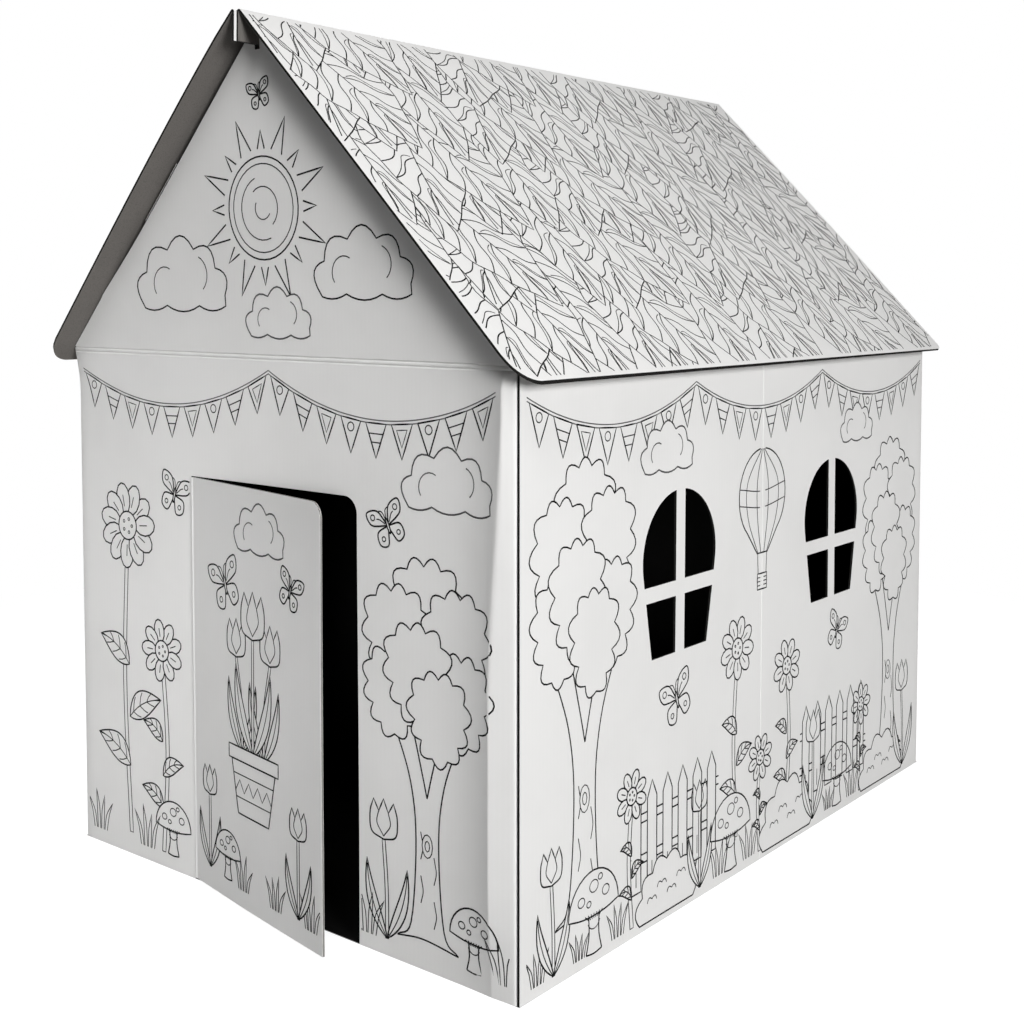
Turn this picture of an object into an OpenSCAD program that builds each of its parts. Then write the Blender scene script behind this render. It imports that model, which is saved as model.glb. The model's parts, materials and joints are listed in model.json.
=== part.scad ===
// Cardboard playhouse: two folded wall sheets, two folded roof sheets and a hinged door flap.
// Millimetres. +Z is up, the front gable faces -Y, and the floor is at Z = 0.

/* [Board] */
// Thickness of the corrugated board
board = 3; // [2:0.5:5]
// Clearance between sheets that lie against each other
lie_gap = 0.3; // [0.1:0.1:0.6]
// Width of a pressed score line
score_w = 1.6; // [0.8:0.2:3]
// Depth of a pressed score line
score_d = 0.5; // [0.2:0.1:1]

/* [Walls] */
// Width across the front wall, over the corners
wall_w = 780; // [660:10:1000]
// Length of a side wall, over the corners
wall_l = 1036; // [860:4:1300]
// Height of the walls, up to the fold of the gable
wall_h = 687; // [600:1:900]
// Height of the gable's upright shoulder above its fold
shoulder_h = 10; // [4:1:30]
// Lean of the front gable out of the wall, in degrees
gable_lean = 2; // [0:0.25:4]
// Spacing of the double score line below the gable
double_score = 5; // [3:0.5:10]
// Width of the glued flaps inside two of the corners
flap_w = 45; // [20:1:80]
// Set-back of a side wall's cut edge from the corner
seam_set = 0.5; // [0:0.1:2]

/* [Roof] */
// Pitch of the roof sheets, in degrees
roof_pitch = 45.4; // [38:0.2:52]
// Overhang of the eaves past the side walls, measured level
eave_overhang = 28; // [15:1:60]
// Overhang of the roof past the front wall, at the eaves
front_overhang = 31; // [10:1:80]
// Overhang of the roof past the back wall
back_overhang = 5; // [2:1:80]
// Extra overhang of the ridge at the front
prow = 13; // [0:1:40]
// Depth of the ridge flanges, from the ridge's top
flange_d = 38; // [25:1:60]
// Radius of the eave corners at the front
eave_r_front = 36; // [5:1:60]
// Radius of the eave corners at the back
eave_r_back = 12; // [2:1:60]

/* [Ridge notch and roof tabs] */
// Room beside the flanges in the gable's notch, each side
notch_side = 3.8; // [1:0.2:10]
// Room below the flanges in the gable's notch
notch_foot = 5; // [1:0.5:15]
// Length of a roof tab along the gable's slope
tab_l = 98; // [40:1:140]
// Depth of a roof tab behind the gable
tab_d = 40; // [20:1:70]
// Distance of a roof tab from the gable's shoulder, along the slope
tab_s = 227; // [100:1:260]

/* [Door] */
// Width of the doorway
door_w = 300; // [220:1:380]
// Height of the doorway
door_h = 528; // [420:1:580]
// Radius of the doorway's top corner, away from the hinge
door_r = 20; // [5:1:60]
// Clearance along the door's cut edges
door_gap = 1.2; // [0.5:0.1:3]
// Clearance between the door's foot and the floor
door_foot = 2; // [1:0.5:10]
// How far the door stands open at rest, in degrees
door_open = 10.4; // [0:0.2:60]

/* [Windows] */
// Distance of a window's middle from the side wall's crease
window_y = 203; // [150:1:260]
// Height of the sill above the floor
sill_z = 325; // [250:1:380]
// Width of a window at its sill
sill_w = 124; // [90:1:160]
// Height of a window from its sill to the crown of its arch
window_h = 200; // [160:1:240]
// Outward slope of a window's sides, in degrees
window_taper = 10.7; // [0:0.1:15]
// Width of a window's upright bar
bar_w = 20; // [10:1:30]
// Height of a window's cross bar
bar_h = 19; // [10:1:30]
// Distance of the cross bar's middle above the sill
bar_z = 79; // [60:1:110]

/* [Hidden] */
$fn = 64;
card = [0.86, 0.86, 0.85];
roof_card = [0.92, 0.92, 0.91];
past = 2;

half_w = wall_w / 2;
half_l = wall_l / 2;
// Outer face of the glued flap, which lies inside the other sheet's side wall
flap_x = half_w - board - lie_gap;
// Ends of the flat gable wall, between the corner folds
gable_left = -half_w + board;
gable_right = flap_x - board;

// Roof section: where a sheet folds down into its ridge flange
rise = tan(roof_pitch);
fold_x = board + lie_gap / 2;
fold_z = gable_z(fold_x) + lie_gap;
flange_foot = fold_z + board - flange_d;
slope_l = (half_w + eave_overhang - board * sin(roof_pitch) - fold_x) / cos(roof_pitch);
// Reach of the roof at the eaves, from the middle of the walls
roof_front = half_l + front_overhang;
roof_back = half_l + back_overhang;

// Gable notch round the ridge flanges
notch_x = fold_x + notch_side;
notch_z = flange_foot - notch_foot;

// Length of board above the gable's fold, with some to cut away
gable_top = 1.5 * (fold_z - wall_h);

// Arch of a window, tangent to its sloping sides
arch_r = (sill_w / 2 * cos(window_taper) + window_h * sin(window_taper)) / (1 + sin(window_taper));
arch_z = window_h - arch_r;

// The origin lies under the middle of the whole object, the open door included
front_reach = max(roof_front + prow, half_l + (door_w - door_gap) * sin(door_open));
mid_y = (roof_back - front_reach) / 2;

// Height of the gable's sloping edge at a distance from the middle
function gable_z(x) = wall_h + shoulder_h + (half_w - x) * rise;
function unit(v) = v / norm(v);
function half_angle(p, a, b) = acos(unit(a - p) * unit(b - p)) / 2;

// Polygon with true arcs at the corners that have a radius
module rounded_polygon(points, radii) {
    n = len(points);
    corner = [for (i = [0:n - 1]) [points[i], points[(i + n - 1) % n], points[(i + 1) % n], radii[i]]];
    polygon([for (c = corner)
        let (back_off = c[3] / tan(half_angle(c[0], c[1], c[2])))
        each c[3] == 0 ? [c[0]] : [c[0] + unit(c[1] - c[0]) * back_off, c[0] + unit(c[2] - c[0]) * back_off]]);
    for (c = corner)
        if (c[3] > 0)
            translate(c[0] + unit(unit(c[1] - c[0]) + unit(c[2] - c[0])) * c[3] / sin(half_angle(c[0], c[1], c[2])))
                circle(r = c[3]);
}

// Section of a fold: a slice of a disc as thick as the board
module fold_slice(from, to) {
    far = 2 * board;
    intersection() {
        circle(r = board);
        polygon([[0, 0], for (a = [from, (from + to) / 2, to]) far * [cos(a), sin(a)]]);
    }
}

// Upright plate in the plane of a gable wall, its outer face at Y = 0
module upright(depth = board) {
    translate([0, depth, 0]) rotate([90, 0, 0]) linear_extrude(depth) children();
}

// Plan of a wall sheet beside its gable wall: side wall, corner folds and glued flap
module sheet_plan() {
    inner_y = -half_l + board;
    translate([gable_left, inner_y]) fold_slice(180, 270);
    translate([-half_w, inner_y]) square([board, wall_l - board - seam_set]);
    translate([gable_right, inner_y]) fold_slice(270, 360);
    translate([gable_right, inner_y]) square([board, flap_w - board]);
}

// Upright section of a gable wall at a depth behind its outer face, bent outwards at the gable's fold
function bent_line(depth, lean) = [
    [depth - half_l, 0],
    [depth - half_l, wall_h + depth * tan(lean / 2)],
    [depth * cos(lean) - gable_top * sin(lean) - half_l, wall_h + depth * sin(lean) + gable_top * cos(lean)]];
function reversed(list) = [for (i = [len(list) - 1:-1:0]) list[i]];

// Gable wall: the bent board, cut to the outline of the wall, its gable and the ridge notch
module gable_wall(lean) {
    section = concat(bent_line(0, lean), reversed(bent_line(board, lean)));
    intersection() {
        translate([gable_left, 0, 0])
            rotate([90, 0, 90]) linear_extrude(gable_right - gable_left) polygon(section);
        translate([0, -half_l - gable_top / 2, 0])
            upright(gable_top)
                polygon([
                    [-half_w, -past], [half_w, -past], [half_w, gable_z(half_w)],
                    [notch_x, gable_z(notch_x)], [notch_x, notch_z],
                    [-notch_x, notch_z], [-notch_x, gable_z(notch_x)], [-half_w, gable_z(half_w)]]);
    }
}

// Tabs folded in from a gable's slopes, which carry the roof sheets
module roof_tabs(lean) {
    behind = concat(bent_line(board / 2, lean), [[half_l, gable_top + wall_h], [half_l, 0]]);
    intersection() {
        for (side = [0, 1])
            mirror([side, 0, 0])
                translate([half_w, -half_l, wall_h + shoulder_h])
                    rotate([0, roof_pitch, 0])
                        translate([-tab_s - tab_l, -tab_d, -board]) cube([tab_l, 2 * tab_d, board]);
        translate([-half_w, 0, 0]) rotate([90, 0, 90]) linear_extrude(wall_w) polygon(behind);
    }
}

module score_lines() {
    // Double score across the gable wall
    for (z = [wall_h, wall_h - double_score])
        translate([-half_w - past, -half_l - past, z - score_w / 2])
            cube([half_w + flap_x + past, score_d + past, score_w]);
    // Crease down the middle of the side wall
    translate([-half_w - past, -score_w / 2, -past]) cube([score_d + past, score_w, wall_h + 2 * past]);
}

// Four panes of one window, with the middle of the sill at the origin
module window_panes() {
    difference() {
        union() {
            shoulder = [arch_r * cos(window_taper), arch_z - arch_r * sin(window_taper)];
            polygon([[-sill_w / 2, 0], [sill_w / 2, 0], shoulder, [-shoulder.x, shoulder.y]]);
            translate([0, arch_z]) circle(r = arch_r);
        }
        translate([-bar_w / 2, -past]) square([bar_w, window_h + 2 * past]);
        translate([-wall_w / 2, bar_z - bar_h / 2]) square([wall_w, bar_h]);
    }
}

module side_windows() {
    for (y = [-window_y, window_y])
        translate([-half_w - past, y, sill_z])
            rotate([90, 0, 90]) linear_extrude(board + 2 * past) window_panes();
}

// One folded sheet: a gable wall with the side wall at its left, with or without windows
module wall_sheet(lean, windows) {
    difference() {
        union() {
            linear_extrude(wall_h) sheet_plan();
            gable_wall(lean);
            roof_tabs(lean);
        }
        score_lines();
        if (windows) side_windows();
    }
}

// Outline of the doorway or the door, the hinge at its left, drawn in by a clearance at its cut edges
module door_outline(foot, gap) {
    right = door_w / 2 - gap;
    top = door_h - gap;
    left = -door_w / 2 + (gap > 0 ? lie_gap : 0);
    rounded_polygon([[left, foot], [right, foot], [right, top], [left, top]], [0, 0, door_r - gap, 0]);
}

// Section of the right roof sheet: sloping panel, rounded ridge fold and hanging flange
module roof_section() {
    along = [cos(roof_pitch), -sin(roof_pitch)];
    out = board * [sin(roof_pitch), cos(roof_pitch)];
    root = [fold_x, fold_z];
    polygon([root, root + slope_l * along, root + slope_l * along + out, root + out]);
    translate(root) fold_slice(90 - roof_pitch, 180);
    translate([fold_x - board, flange_foot]) square([board, fold_z - flange_foot]);
}

// Outline of a roof sheet seen square to its slope: X runs down the slope from the ridge fold
module roof_outline() {
    crown = -3 * board;
    crown_front = roof_front + prow - prow * crown / slope_l;
    rounded_polygon(
        [[crown, -crown_front], [slope_l, -roof_front], [slope_l, roof_back], [crown, roof_back]],
        [0, eave_r_front, eave_r_back, 0]);
}

module roof_sheet() {
    translate([0, -mid_y, 0])
        intersection() {
            rotate([90, 0, 0]) linear_extrude(3 * roof_front, center = true) roof_section();
            translate([fold_x, 0, fold_z])
                rotate([0, roof_pitch, 0])
                    translate([0, 0, -2 * flange_d]) linear_extrude(4 * flange_d) roof_outline();
        }
}

module front_left_walls() {
    color(card)
        translate([0, -mid_y, 0])
            difference() {
                wall_sheet(gable_lean, windows = false);
                translate([0, -half_l - past, 0]) upright(board + 2 * past) door_outline(-past, 0);
            }
}

module right_back_walls() {
    color(card) translate([0, -mid_y, 0]) rotate([0, 0, 180]) wall_sheet(0, windows = true);
}

module right_roof() {
    color(roof_card) roof_sheet();
}

module left_roof() {
    color(roof_card) mirror([1, 0, 0]) roof_sheet();
}

module door() {
    hinge = [-door_w / 2, -half_l - mid_y, 0];
    color(card)
        translate(hinge) rotate([0, 0, -door_open])
            translate([door_w / 2, 0, 0]) upright() door_outline(door_foot, door_gap);
}

front_left_walls();
right_back_walls();
left_roof();
right_roof();
door();
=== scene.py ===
"""Cardboard playhouse: folded board sheets with a line print, built around the packed frame."""
import json
import math

import bpy
import numpy as np
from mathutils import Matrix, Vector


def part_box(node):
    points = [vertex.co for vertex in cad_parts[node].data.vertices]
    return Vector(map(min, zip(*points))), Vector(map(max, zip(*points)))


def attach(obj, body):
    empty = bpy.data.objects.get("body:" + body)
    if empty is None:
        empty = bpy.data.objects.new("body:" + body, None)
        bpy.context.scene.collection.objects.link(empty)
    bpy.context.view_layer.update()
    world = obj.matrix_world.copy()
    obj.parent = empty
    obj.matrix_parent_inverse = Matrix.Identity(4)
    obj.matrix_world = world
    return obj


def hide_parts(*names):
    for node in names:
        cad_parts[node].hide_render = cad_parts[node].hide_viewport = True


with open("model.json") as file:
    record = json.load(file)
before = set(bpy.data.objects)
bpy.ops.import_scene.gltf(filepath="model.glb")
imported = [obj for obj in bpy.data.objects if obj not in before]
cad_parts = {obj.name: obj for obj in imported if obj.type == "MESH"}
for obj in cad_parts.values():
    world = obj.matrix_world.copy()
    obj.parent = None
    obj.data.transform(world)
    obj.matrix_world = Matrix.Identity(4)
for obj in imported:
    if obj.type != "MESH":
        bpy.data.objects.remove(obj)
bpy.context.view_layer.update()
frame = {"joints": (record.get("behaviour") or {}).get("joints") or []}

bl_info = {
    "name": "Cardboard playhouse",
    "version": (1, 0, 0),
    "blender": (4, 5, 0),
    "location": "View3D > Sidebar > Playhouse",
    "description": "Cuts, folds and prints the board sheets of a play house and sets its stage",
    "category": "Object",
}

# Places that the frame gives
HINGE = next(j for j in frame["joints"] if j["name"] == "door_hinge")["pos_m"]
BACK_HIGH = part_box("right_back_walls")[1]
ROOF_LOW, ROOF_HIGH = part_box("right_roof")
HALF_W = BACK_HIGH.x
FRONT_Y = HINGE[1]
BACK_Y = BACK_HIGH.y
MID_Y = (FRONT_Y + BACK_Y) / 2
WALL_L = BACK_Y - FRONT_Y
ROOF_MID_Y = (ROOF_LOW.y + ROOF_HIGH.y) / 2
ROOF_HALF = (ROOF_HIGH.y - ROOF_LOW.y) / 2

# Values that every sheet shares: how far a cut reaches past an edge, and the sharpest bend that looks smooth
MM = 0.001
PAST_EDGE = 20 * MM
SMOOTH_BELOW = math.radians(35)


# Settings that a user may change

def length(name, description, default):
    return bpy.props.FloatProperty(
        name=name, description=description, default=default, min=0.0, unit="LENGTH", precision=4)


def angle(name, description, degrees):
    return bpy.props.FloatProperty(
        name=name, description=description, default=math.radians(degrees), subtype="ANGLE")


def number(name, description, default):
    return bpy.props.FloatProperty(name=name, description=description, default=default, min=0.0)


def colour(name, description, default):
    return bpy.props.FloatVectorProperty(
        name=name, description=description, default=default, size=3, min=0.0, max=1.0, subtype="COLOR")


class PLAYHOUSE_PG_board(bpy.types.PropertyGroup):
    """The corrugated board and its faces"""
    thick: length("Thickness", "Thickness of the board", 3 * MM)
    fold_r: length("Fold radius", "Outer radius of a corner fold", 4.5 * MM)
    ridge_r: length("Ridge radius", "Inner radius of the ridge fold", 0.6 * MM)
    score_w: length("Score width", "Width of a pressed score line", 2.0 * MM)
    score_d: length("Score depth", "Depth of a pressed score line", 0.9 * MM)
    flute: length("Flute pitch", "Distance between two flutes of the core", 6.4 * MM)
    step: length("Grid step", "Side of the squares that the blanks are cut into", 42 * MM)
    coat: colour("Coat", "White coat of the outer face", (0.80, 0.795, 0.785))
    coat_shade: colour("Coat shade", "Darker patches of the coat", (0.745, 0.74, 0.73))
    # The inner face of the walls and the door is near black: painted shade that keeps the inside of the
    # house dark.
    wall_liner: colour("Wall liner", "Dark paper of the walls' inner face", (0.004, 0.0038, 0.0036))
    roof_liner: colour("Roof liner", "Grey paper of the roof's inner face", (0.155, 0.145, 0.135))
    door_edge: colour("Door edge", "Cut edge of the door", (0.55, 0.54, 0.52))
    # The cut edges of the wall and roof sheets are near black: painted shade of the dark gaps along the
    # seams, slopes and eaves.
    wall_edge: colour("Wall edge", "Cut edge of the wall sheets", (0.03, 0.029, 0.028))
    roof_edge: colour("Roof edge", "Cut edge of the roof sheets", (0.02, 0.019, 0.018))


class PLAYHOUSE_PG_walls(bpy.types.PropertyGroup):
    """The two wall sheets and the door"""
    wall_h: length("Wall height", "Height of the walls up to the gable's fold", 687 * MM)
    shoulder_h: length("Shoulder", "Upright shoulder of the gable", 10 * MM)
    lean: angle("Gable lean", "Lean of the front gable out of the wall", 2)
    double_score: length("Double score", "Spacing of the two score lines below the gable", 5 * MM)
    double_w: length("Double score width", "Width of each score line below the gable", 3.2 * MM)
    double_d: length("Double score depth", "Depth of the score lines below the gable", 1.4 * MM)
    flap_w: length("Flap width", "Width of the glued corner flap", 45 * MM)
    seam_set: length("Seam set-back", "Set-back of a side wall's cut edge from the corner", 0.5 * MM)
    lie_gap: length("Lying gap", "Room between sheets that lie against each other", 0.3 * MM)
    notch_x: length("Notch half width", "Half the width of the ridge notch", 4.2 * MM)
    notch_foot: length("Notch room", "Room below the ridge flanges", 1.2 * MM)
    slope_gap: length("Slope gap", "Dark gap between the gable's edge and the roof", 4.6 * MM)
    tab_r: length("Tab fold", "Outer radius of a roof tab's fold", 3.3 * MM)
    tab_l: length("Tab length", "Length of a roof tab along the slope", 98 * MM)
    tab_d: length("Tab depth", "Depth of a roof tab behind the gable", 40 * MM)
    tab_s: length("Tab place", "Distance of a roof tab from the shoulder", 227 * MM)
    tab_cut: length("Tab corner", "Corner cut off a roof tab", 14 * MM)
    door_w: length("Door width", "Width of the doorway", 300 * MM)
    door_h: length("Door height", "Height of the doorway", 528 * MM)
    door_r: length("Door radius", "Radius of the doorway's free top corner", 20 * MM)
    door_gap: length("Door gap", "Clearance along the door's cut edges", 1.2 * MM)
    door_foot: length("Door foot", "Clearance below the door", 2 * MM)
    door_open: angle("Door angle", "How far the door stands open at rest", 10.4)
    window_y: length("Window place", "Distance of a window's middle from the wall's crease", 203 * MM)
    sill_z: length("Sill height", "Height of the sill above the floor", 325 * MM)
    sill_w: length("Sill width", "Width of a window at its sill", 124 * MM)
    window_h: length("Window height", "Height of a window up to its crown", 200 * MM)
    taper: angle("Window taper", "Outward slope of a window's sides", 10.7)
    bar_w: length("Bar width", "Width of the upright window bar", 20 * MM)
    bar_h: length("Bar height", "Height of the window's cross bar", 19 * MM)
    bar_z: length("Bar place", "Height of the cross bar's middle above the sill", 79 * MM)
    flare: length("Corner flare", "How far the front left corner flares out at its top", 12 * MM)
    flare_h: length("Flare height", "Height of the flared stretch", 62 * MM)
    strip_low: length("Strip foot", "Width of the bent strip by the front right corner, low down", 36 * MM)
    strip_top: length("Strip top", "Width of the bent strip at its top", 17 * MM)
    strip_out: length("Strip swell", "How far the front wall swells at the bent strip's crease", 8.5 * MM)
    strip_in: length("Strip set-in", "How far the bent strip falls back at the corner", 1 * MM)
    strip_run: length("Swell run", "Width of the swelling beside the bent strip", 85 * MM)
    bow: length("Wall bow", "How far a wall bows out of its plane", 1.8 * MM)


class PLAYHOUSE_PG_roof(bpy.types.PropertyGroup):
    """The two roof sheets"""
    pitch: angle("Pitch", "Slope of the roof", 45.4)
    prow: length("Prow", "Extra overhang of the ridge at the front", 13 * MM)
    flange_d: length("Flange depth", "Depth of the ridge flange from the ridge's top", 38 * MM)
    front_r: length("Front corner", "Radius of the eave corner at the front", 36 * MM)
    back_r: length("Back corner", "Radius of the eave corner at the back", 12 * MM)
    bow: length("Roof bow", "How far a roof sheet bows out of its plane", 2.2 * MM)
    swell: length("Left swell", "How far the left sheet swells below the ridge at the front", 4.5 * MM)
    lift: length("Ridge lift", "How far the ridge rises at the front", 4.0 * MM)
    crush: length("Eave crush", "How far the inner skin is pressed out past the eave's cut", 3.0 * MM)
    slide: length("Left slide", "How far the left sheet is slid forward", 3.5 * MM)


class PLAYHOUSE_PG_print(bpy.types.PropertyGroup):
    """The line print"""
    pen: length("Pen", "Width of an outline", 2.0 * MM)
    fine_pen: length("Fine pen", "Width of a detail line", 1.4 * MM)
    lift: length("Ink lift", "Height of the ink's middle above the board", 0.22 * MM)
    body: length("Ink body", "Half thickness of the ink film", 0.12 * MM)
    ink: colour("Ink", "Colour of the printed lines", (0.006, 0.006, 0.006))
    pale_ink: colour("Pale ink", "Colour of the pale printed lines", (0.26, 0.26, 0.26))


class PLAYHOUSE_PG_stage(bpy.types.PropertyGroup):
    """Floor, light and camera"""
    floor: colour("Floor", "Colour of the floor", (0.30, 0.30, 0.30))
    # The floor inside the house is near black: painted shade under the house.
    under: colour("Floor under", "Colour of the floor inside the house", (0.01, 0.01, 0.01))
    floor_glow: number("Floor glow", "How much whiter the open floor looks to the camera", 0.90)
    key_power: number("Key power", "Power of the low lamp at the right, in watts", 228.0)
    key_side: length("Key size", "Side of the low lamp at the right", 1.5)
    high_power: number("High lamp power", "Power of the high lamp in front, in watts", 58.0)
    high_side: length("High lamp size", "Side of the high lamp", 1.4)
    back_power: number("Back power", "Power of the lamp behind the house at the left, in watts", 180.0)
    fill_spread: angle("Fill spread", "Angle of the weak lamp's beam", 42)
    fill_side: length("Fill size", "Side of the weak lamp", 0.6)
    fill_power: number("Fill power", "Power of the weak lamp low in front, in watts", 1.0)
    sky: number("Sky", "Strength of the even light from all round", 0.03)
    camera_place: bpy.props.FloatVectorProperty(
        name="Camera place", description="Where the camera stands", default=(1.3283, -1.6680, 0.7682),
        size=3, unit="LENGTH")
    camera_down: angle("Camera tilt", "How far the camera looks down", 3.15)
    camera_turn: angle("Camera turn", "How far the camera is turned to the left", 38.92)
    camera_lens: number("Focal length", "Focal length in millimetres on a 36 mm frame", 50.73)
    camera_shift: bpy.props.FloatProperty(
        name="Camera shift", description="Share of the frame by which the picture is moved", default=-0.1406)


SETTINGS = {
    "playhouse_board": PLAYHOUSE_PG_board,
    "playhouse_walls": PLAYHOUSE_PG_walls,
    "playhouse_roof": PLAYHOUSE_PG_roof,
    "playhouse_print": PLAYHOUSE_PG_print,
    "playhouse_stage": PLAYHOUSE_PG_stage,
}


def settings(group):
    return getattr(bpy.context.scene, "playhouse_" + group)


# Finishes

class Wire:
    """One output of a node. Arithmetic on it adds Math nodes."""

    def __init__(self, finish, socket):
        self.finish = finish
        self.socket = socket

    def math(self, operation, *others):
        return self.finish.node("ShaderNodeMath", {"operation": operation}, dict(enumerate((self, *others))))

    def __add__(self, other):
        return self.math("ADD", other)

    __radd__ = __add__

    def __sub__(self, other):
        return self.math("SUBTRACT", other)

    def __rsub__(self, other):
        return self.finish.node("ShaderNodeMath", {"operation": "SUBTRACT"}, {0: other, 1: self})

    def __mul__(self, other):
        return self.math("MULTIPLY", other)

    __rmul__ = __mul__

    def __abs__(self):
        return self.math("ABSOLUTE")


class Finish:
    """A material or a world, and the nodes in it."""

    def __init__(self, owner):
        owner.use_nodes = True
        self.owner = owner
        self.tree = owner.node_tree
        self.tree.nodes.clear()

    def node(self, kind, given=None, sockets=None, output=0):
        """Adds a node with its settings and its sockets' values or links, and returns one of its outputs."""
        made = self.tree.nodes.new(kind)
        for key, value in (given or {}).items():
            setattr(made, key, value)
        for key, value in (sockets or {}).items():
            if isinstance(value, Wire):
                self.tree.links.new(value.socket, made.inputs[key])
            else:
                made.inputs[key].default_value = value
        return Wire(self, made.outputs[output]) if made.outputs else made

    def mix(self, share, first, second):
        """A colour between two others."""
        a, b = (c if isinstance(c, Wire) else (*c, 1.0) for c in (first, second))
        return self.node("ShaderNodeMix", {"data_type": "RGBA"}, {0: share, 6: a, 7: b}, output=2)

    def ramp(self, value, low, high, start=0.0, end=1.0):
        """A value eased from start to end as it goes from low to high."""
        return self.node(
            "ShaderNodeMapRange", {"interpolation_type": "SMOOTHSTEP"},
            {"Value": value, "From Min": low, "From Max": high, "To Min": start, "To Max": end})

    def noise(self, place, scale, detail=3.0, rough=0.5):
        sockets = {"Vector": place, "Scale": scale, "Detail": detail, "Roughness": rough}
        return self.node("ShaderNodeTexNoise", {}, sockets)

    def surface(self, **sockets):
        """Ends the material in one Principled shader. Socket names are given with underscores."""
        named = {key.replace("_", " "): value for key, value in sockets.items()}
        shader = self.node("ShaderNodeBsdfPrincipled", {}, named)
        self.node("ShaderNodeOutputMaterial", {}, {"Surface": shader})
        return self.owner


def board_finish(name, edge, lining):
    """White coated face, darker inner liner and a cut edge that shows the core's flutes, with painted shade
    in the hollows between them.
    """
    board = settings("board")
    f = Finish(bpy.data.materials.new(name))
    place = f.node("ShaderNodeTexCoord", output="Object")
    flat = f.node("ShaderNodeUVMap", {"uv_map": "flat"})
    across = f.node("ShaderNodeSeparateXYZ", {}, {0: flat}, output=0)
    depth = f.node("ShaderNodeAttribute", {"attribute_name": "depth"}, output="Fac")
    flutes = (across * (2 * math.pi / board.flute)).math("SINE")
    mottle = f.noise(place, 5.0, 4.0, 0.6)
    grain = f.noise(place, 420.0, 2.0)
    upright = f.node("ShaderNodeMapping", {}, {"Vector": place, "Scale": (1.0, 1.0, 0.12)})
    fibre = f.noise(upright, 900.0, 2.0)
    patches = f.ramp(mottle, 0.40, 0.70)
    coat = f.mix(patches * 0.55 + flutes * 0.05 + 0.05, board.coat, board.coat_shade)
    fleck = [0.65 * c for c in lining]
    # The hollows between the flutes get a darker copy of the edge colour: painted shade.
    gap = [0.3 * c for c in edge]
    liner = f.mix(f.ramp(fibre, 0.45, 0.75) * 0.7 + patches * 0.3, lining, fleck)
    wave = abs(depth - (flutes * 0.34 + 0.5))
    paper = 1 - f.ramp(wave, 0.08, 0.16)
    skins = f.ramp(abs(depth - 0.5), 0.34, 0.38)
    core = f.mix(paper.math("MAXIMUM", skins), gap, edge)
    cut = f.mix(f.ramp(grain, 0.3, 0.7) * 0.25, core, gap)
    inside = f.ramp(depth, 0.97, 0.995)
    outside = 1 - f.ramp(depth, 0.005, 0.04)
    shown = f.mix(outside, f.mix(inside, cut, liner), coat)
    height = flutes * (0.02 * MM) + grain * (0.03 * MM) + fibre * (0.03 * MM)
    normal = f.node("ShaderNodeBump", {}, {"Strength": 0.6, "Distance": 1.0, "Height": height})
    rough = 0.84 - outside * 0.24 + grain * 0.08
    return f.surface(Base_Color=shown, Roughness=rough, Normal=normal, Specular_IOR_Level=0.2)


def ink_finish():
    """Matte black ink, with pale strokes where the print's tone says so."""
    ink = settings("print")
    f = Finish(bpy.data.materials.new("line_ink"))
    place = f.node("ShaderNodeTexCoord", output="Object")
    tone = f.node("ShaderNodeAttribute", {"attribute_name": "tone"}, output="Fac")
    wear = f.noise(place, 260.0, 3.0)
    worn = tone + f.ramp(wear, 0.5, 0.85) * 0.08
    shown = f.mix(worn.math("MINIMUM", 1.0), ink.ink, ink.pale_ink)
    return f.surface(Base_Color=shown, Roughness=f.ramp(wear, 0.2, 0.8, 0.7, 0.9), Specular_IOR_Level=0.25)


def shared(name, make):
    """A material by name, made the first time that it is asked for."""
    return bpy.data.materials.get(name) or make()


def ink():
    return shared("line_ink", ink_finish)


def board_of(name, edge, lining):
    board = settings("board")
    return shared(name, lambda: board_finish(name, getattr(board, edge), getattr(board, lining)))


# Flat blanks, which are cut, thickened and folded

def use(piece):
    """Makes one object the only one selected."""
    if bpy.context.mode != "OBJECT":
        bpy.ops.object.mode_set(mode="OBJECT")
    bpy.ops.object.select_all(action="DESELECT")
    piece.select_set(True)
    bpy.context.view_layer.objects.active = piece


def added(name, operator, **given):
    """Adds one new object by an operator, and names it."""
    bpy.ops.object.select_all(action="DESELECT")
    operator(**given)
    piece = bpy.context.active_object
    piece.name = name
    return piece


def smooth(low, high, value):
    """0 below low, 1 above high and an eased step between."""
    share = np.clip((value - low) / (high - low), 0, 1)
    return share * share * (3 - 2 * share)


def stations(low, high, step, marks):
    """Places to cut a blank at: its marks, and even steps that keep clear of them."""
    marks = [m for m in marks if low < m < high]
    even = np.linspace(low, high, max(2, round((high - low) / step) + 1))[1:-1]
    return sorted(marks + [e for e in even if all(abs(e - m) > step / 3 for m in [low, high, *marks])])


def blank(name, low, high, marks):
    """A flat rectangle of card, cut across at its marks. It lies face up, u along X and v along Y."""
    piece = added(name, bpy.ops.mesh.primitive_plane_add, size=1)
    piece.data.name = name
    bpy.ops.object.mode_set(mode="EDIT")
    bpy.ops.transform.resize(value=(high[0] - low[0], high[1] - low[1], 1))
    bpy.ops.transform.translate(value=((high[0] + low[0]) / 2, (high[1] + low[1]) / 2, 0))
    step = settings("board").step
    for axis in (0, 1):
        normal = (1 - axis, axis, 0)
        for place in stations(low[axis], high[axis], step, marks[axis]):
            bpy.ops.mesh.select_all(action="SELECT")
            bpy.ops.mesh.bisect(plane_co=[place * n for n in normal], plane_no=normal)
    bpy.ops.object.mode_set(mode="OBJECT")
    return piece


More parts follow.
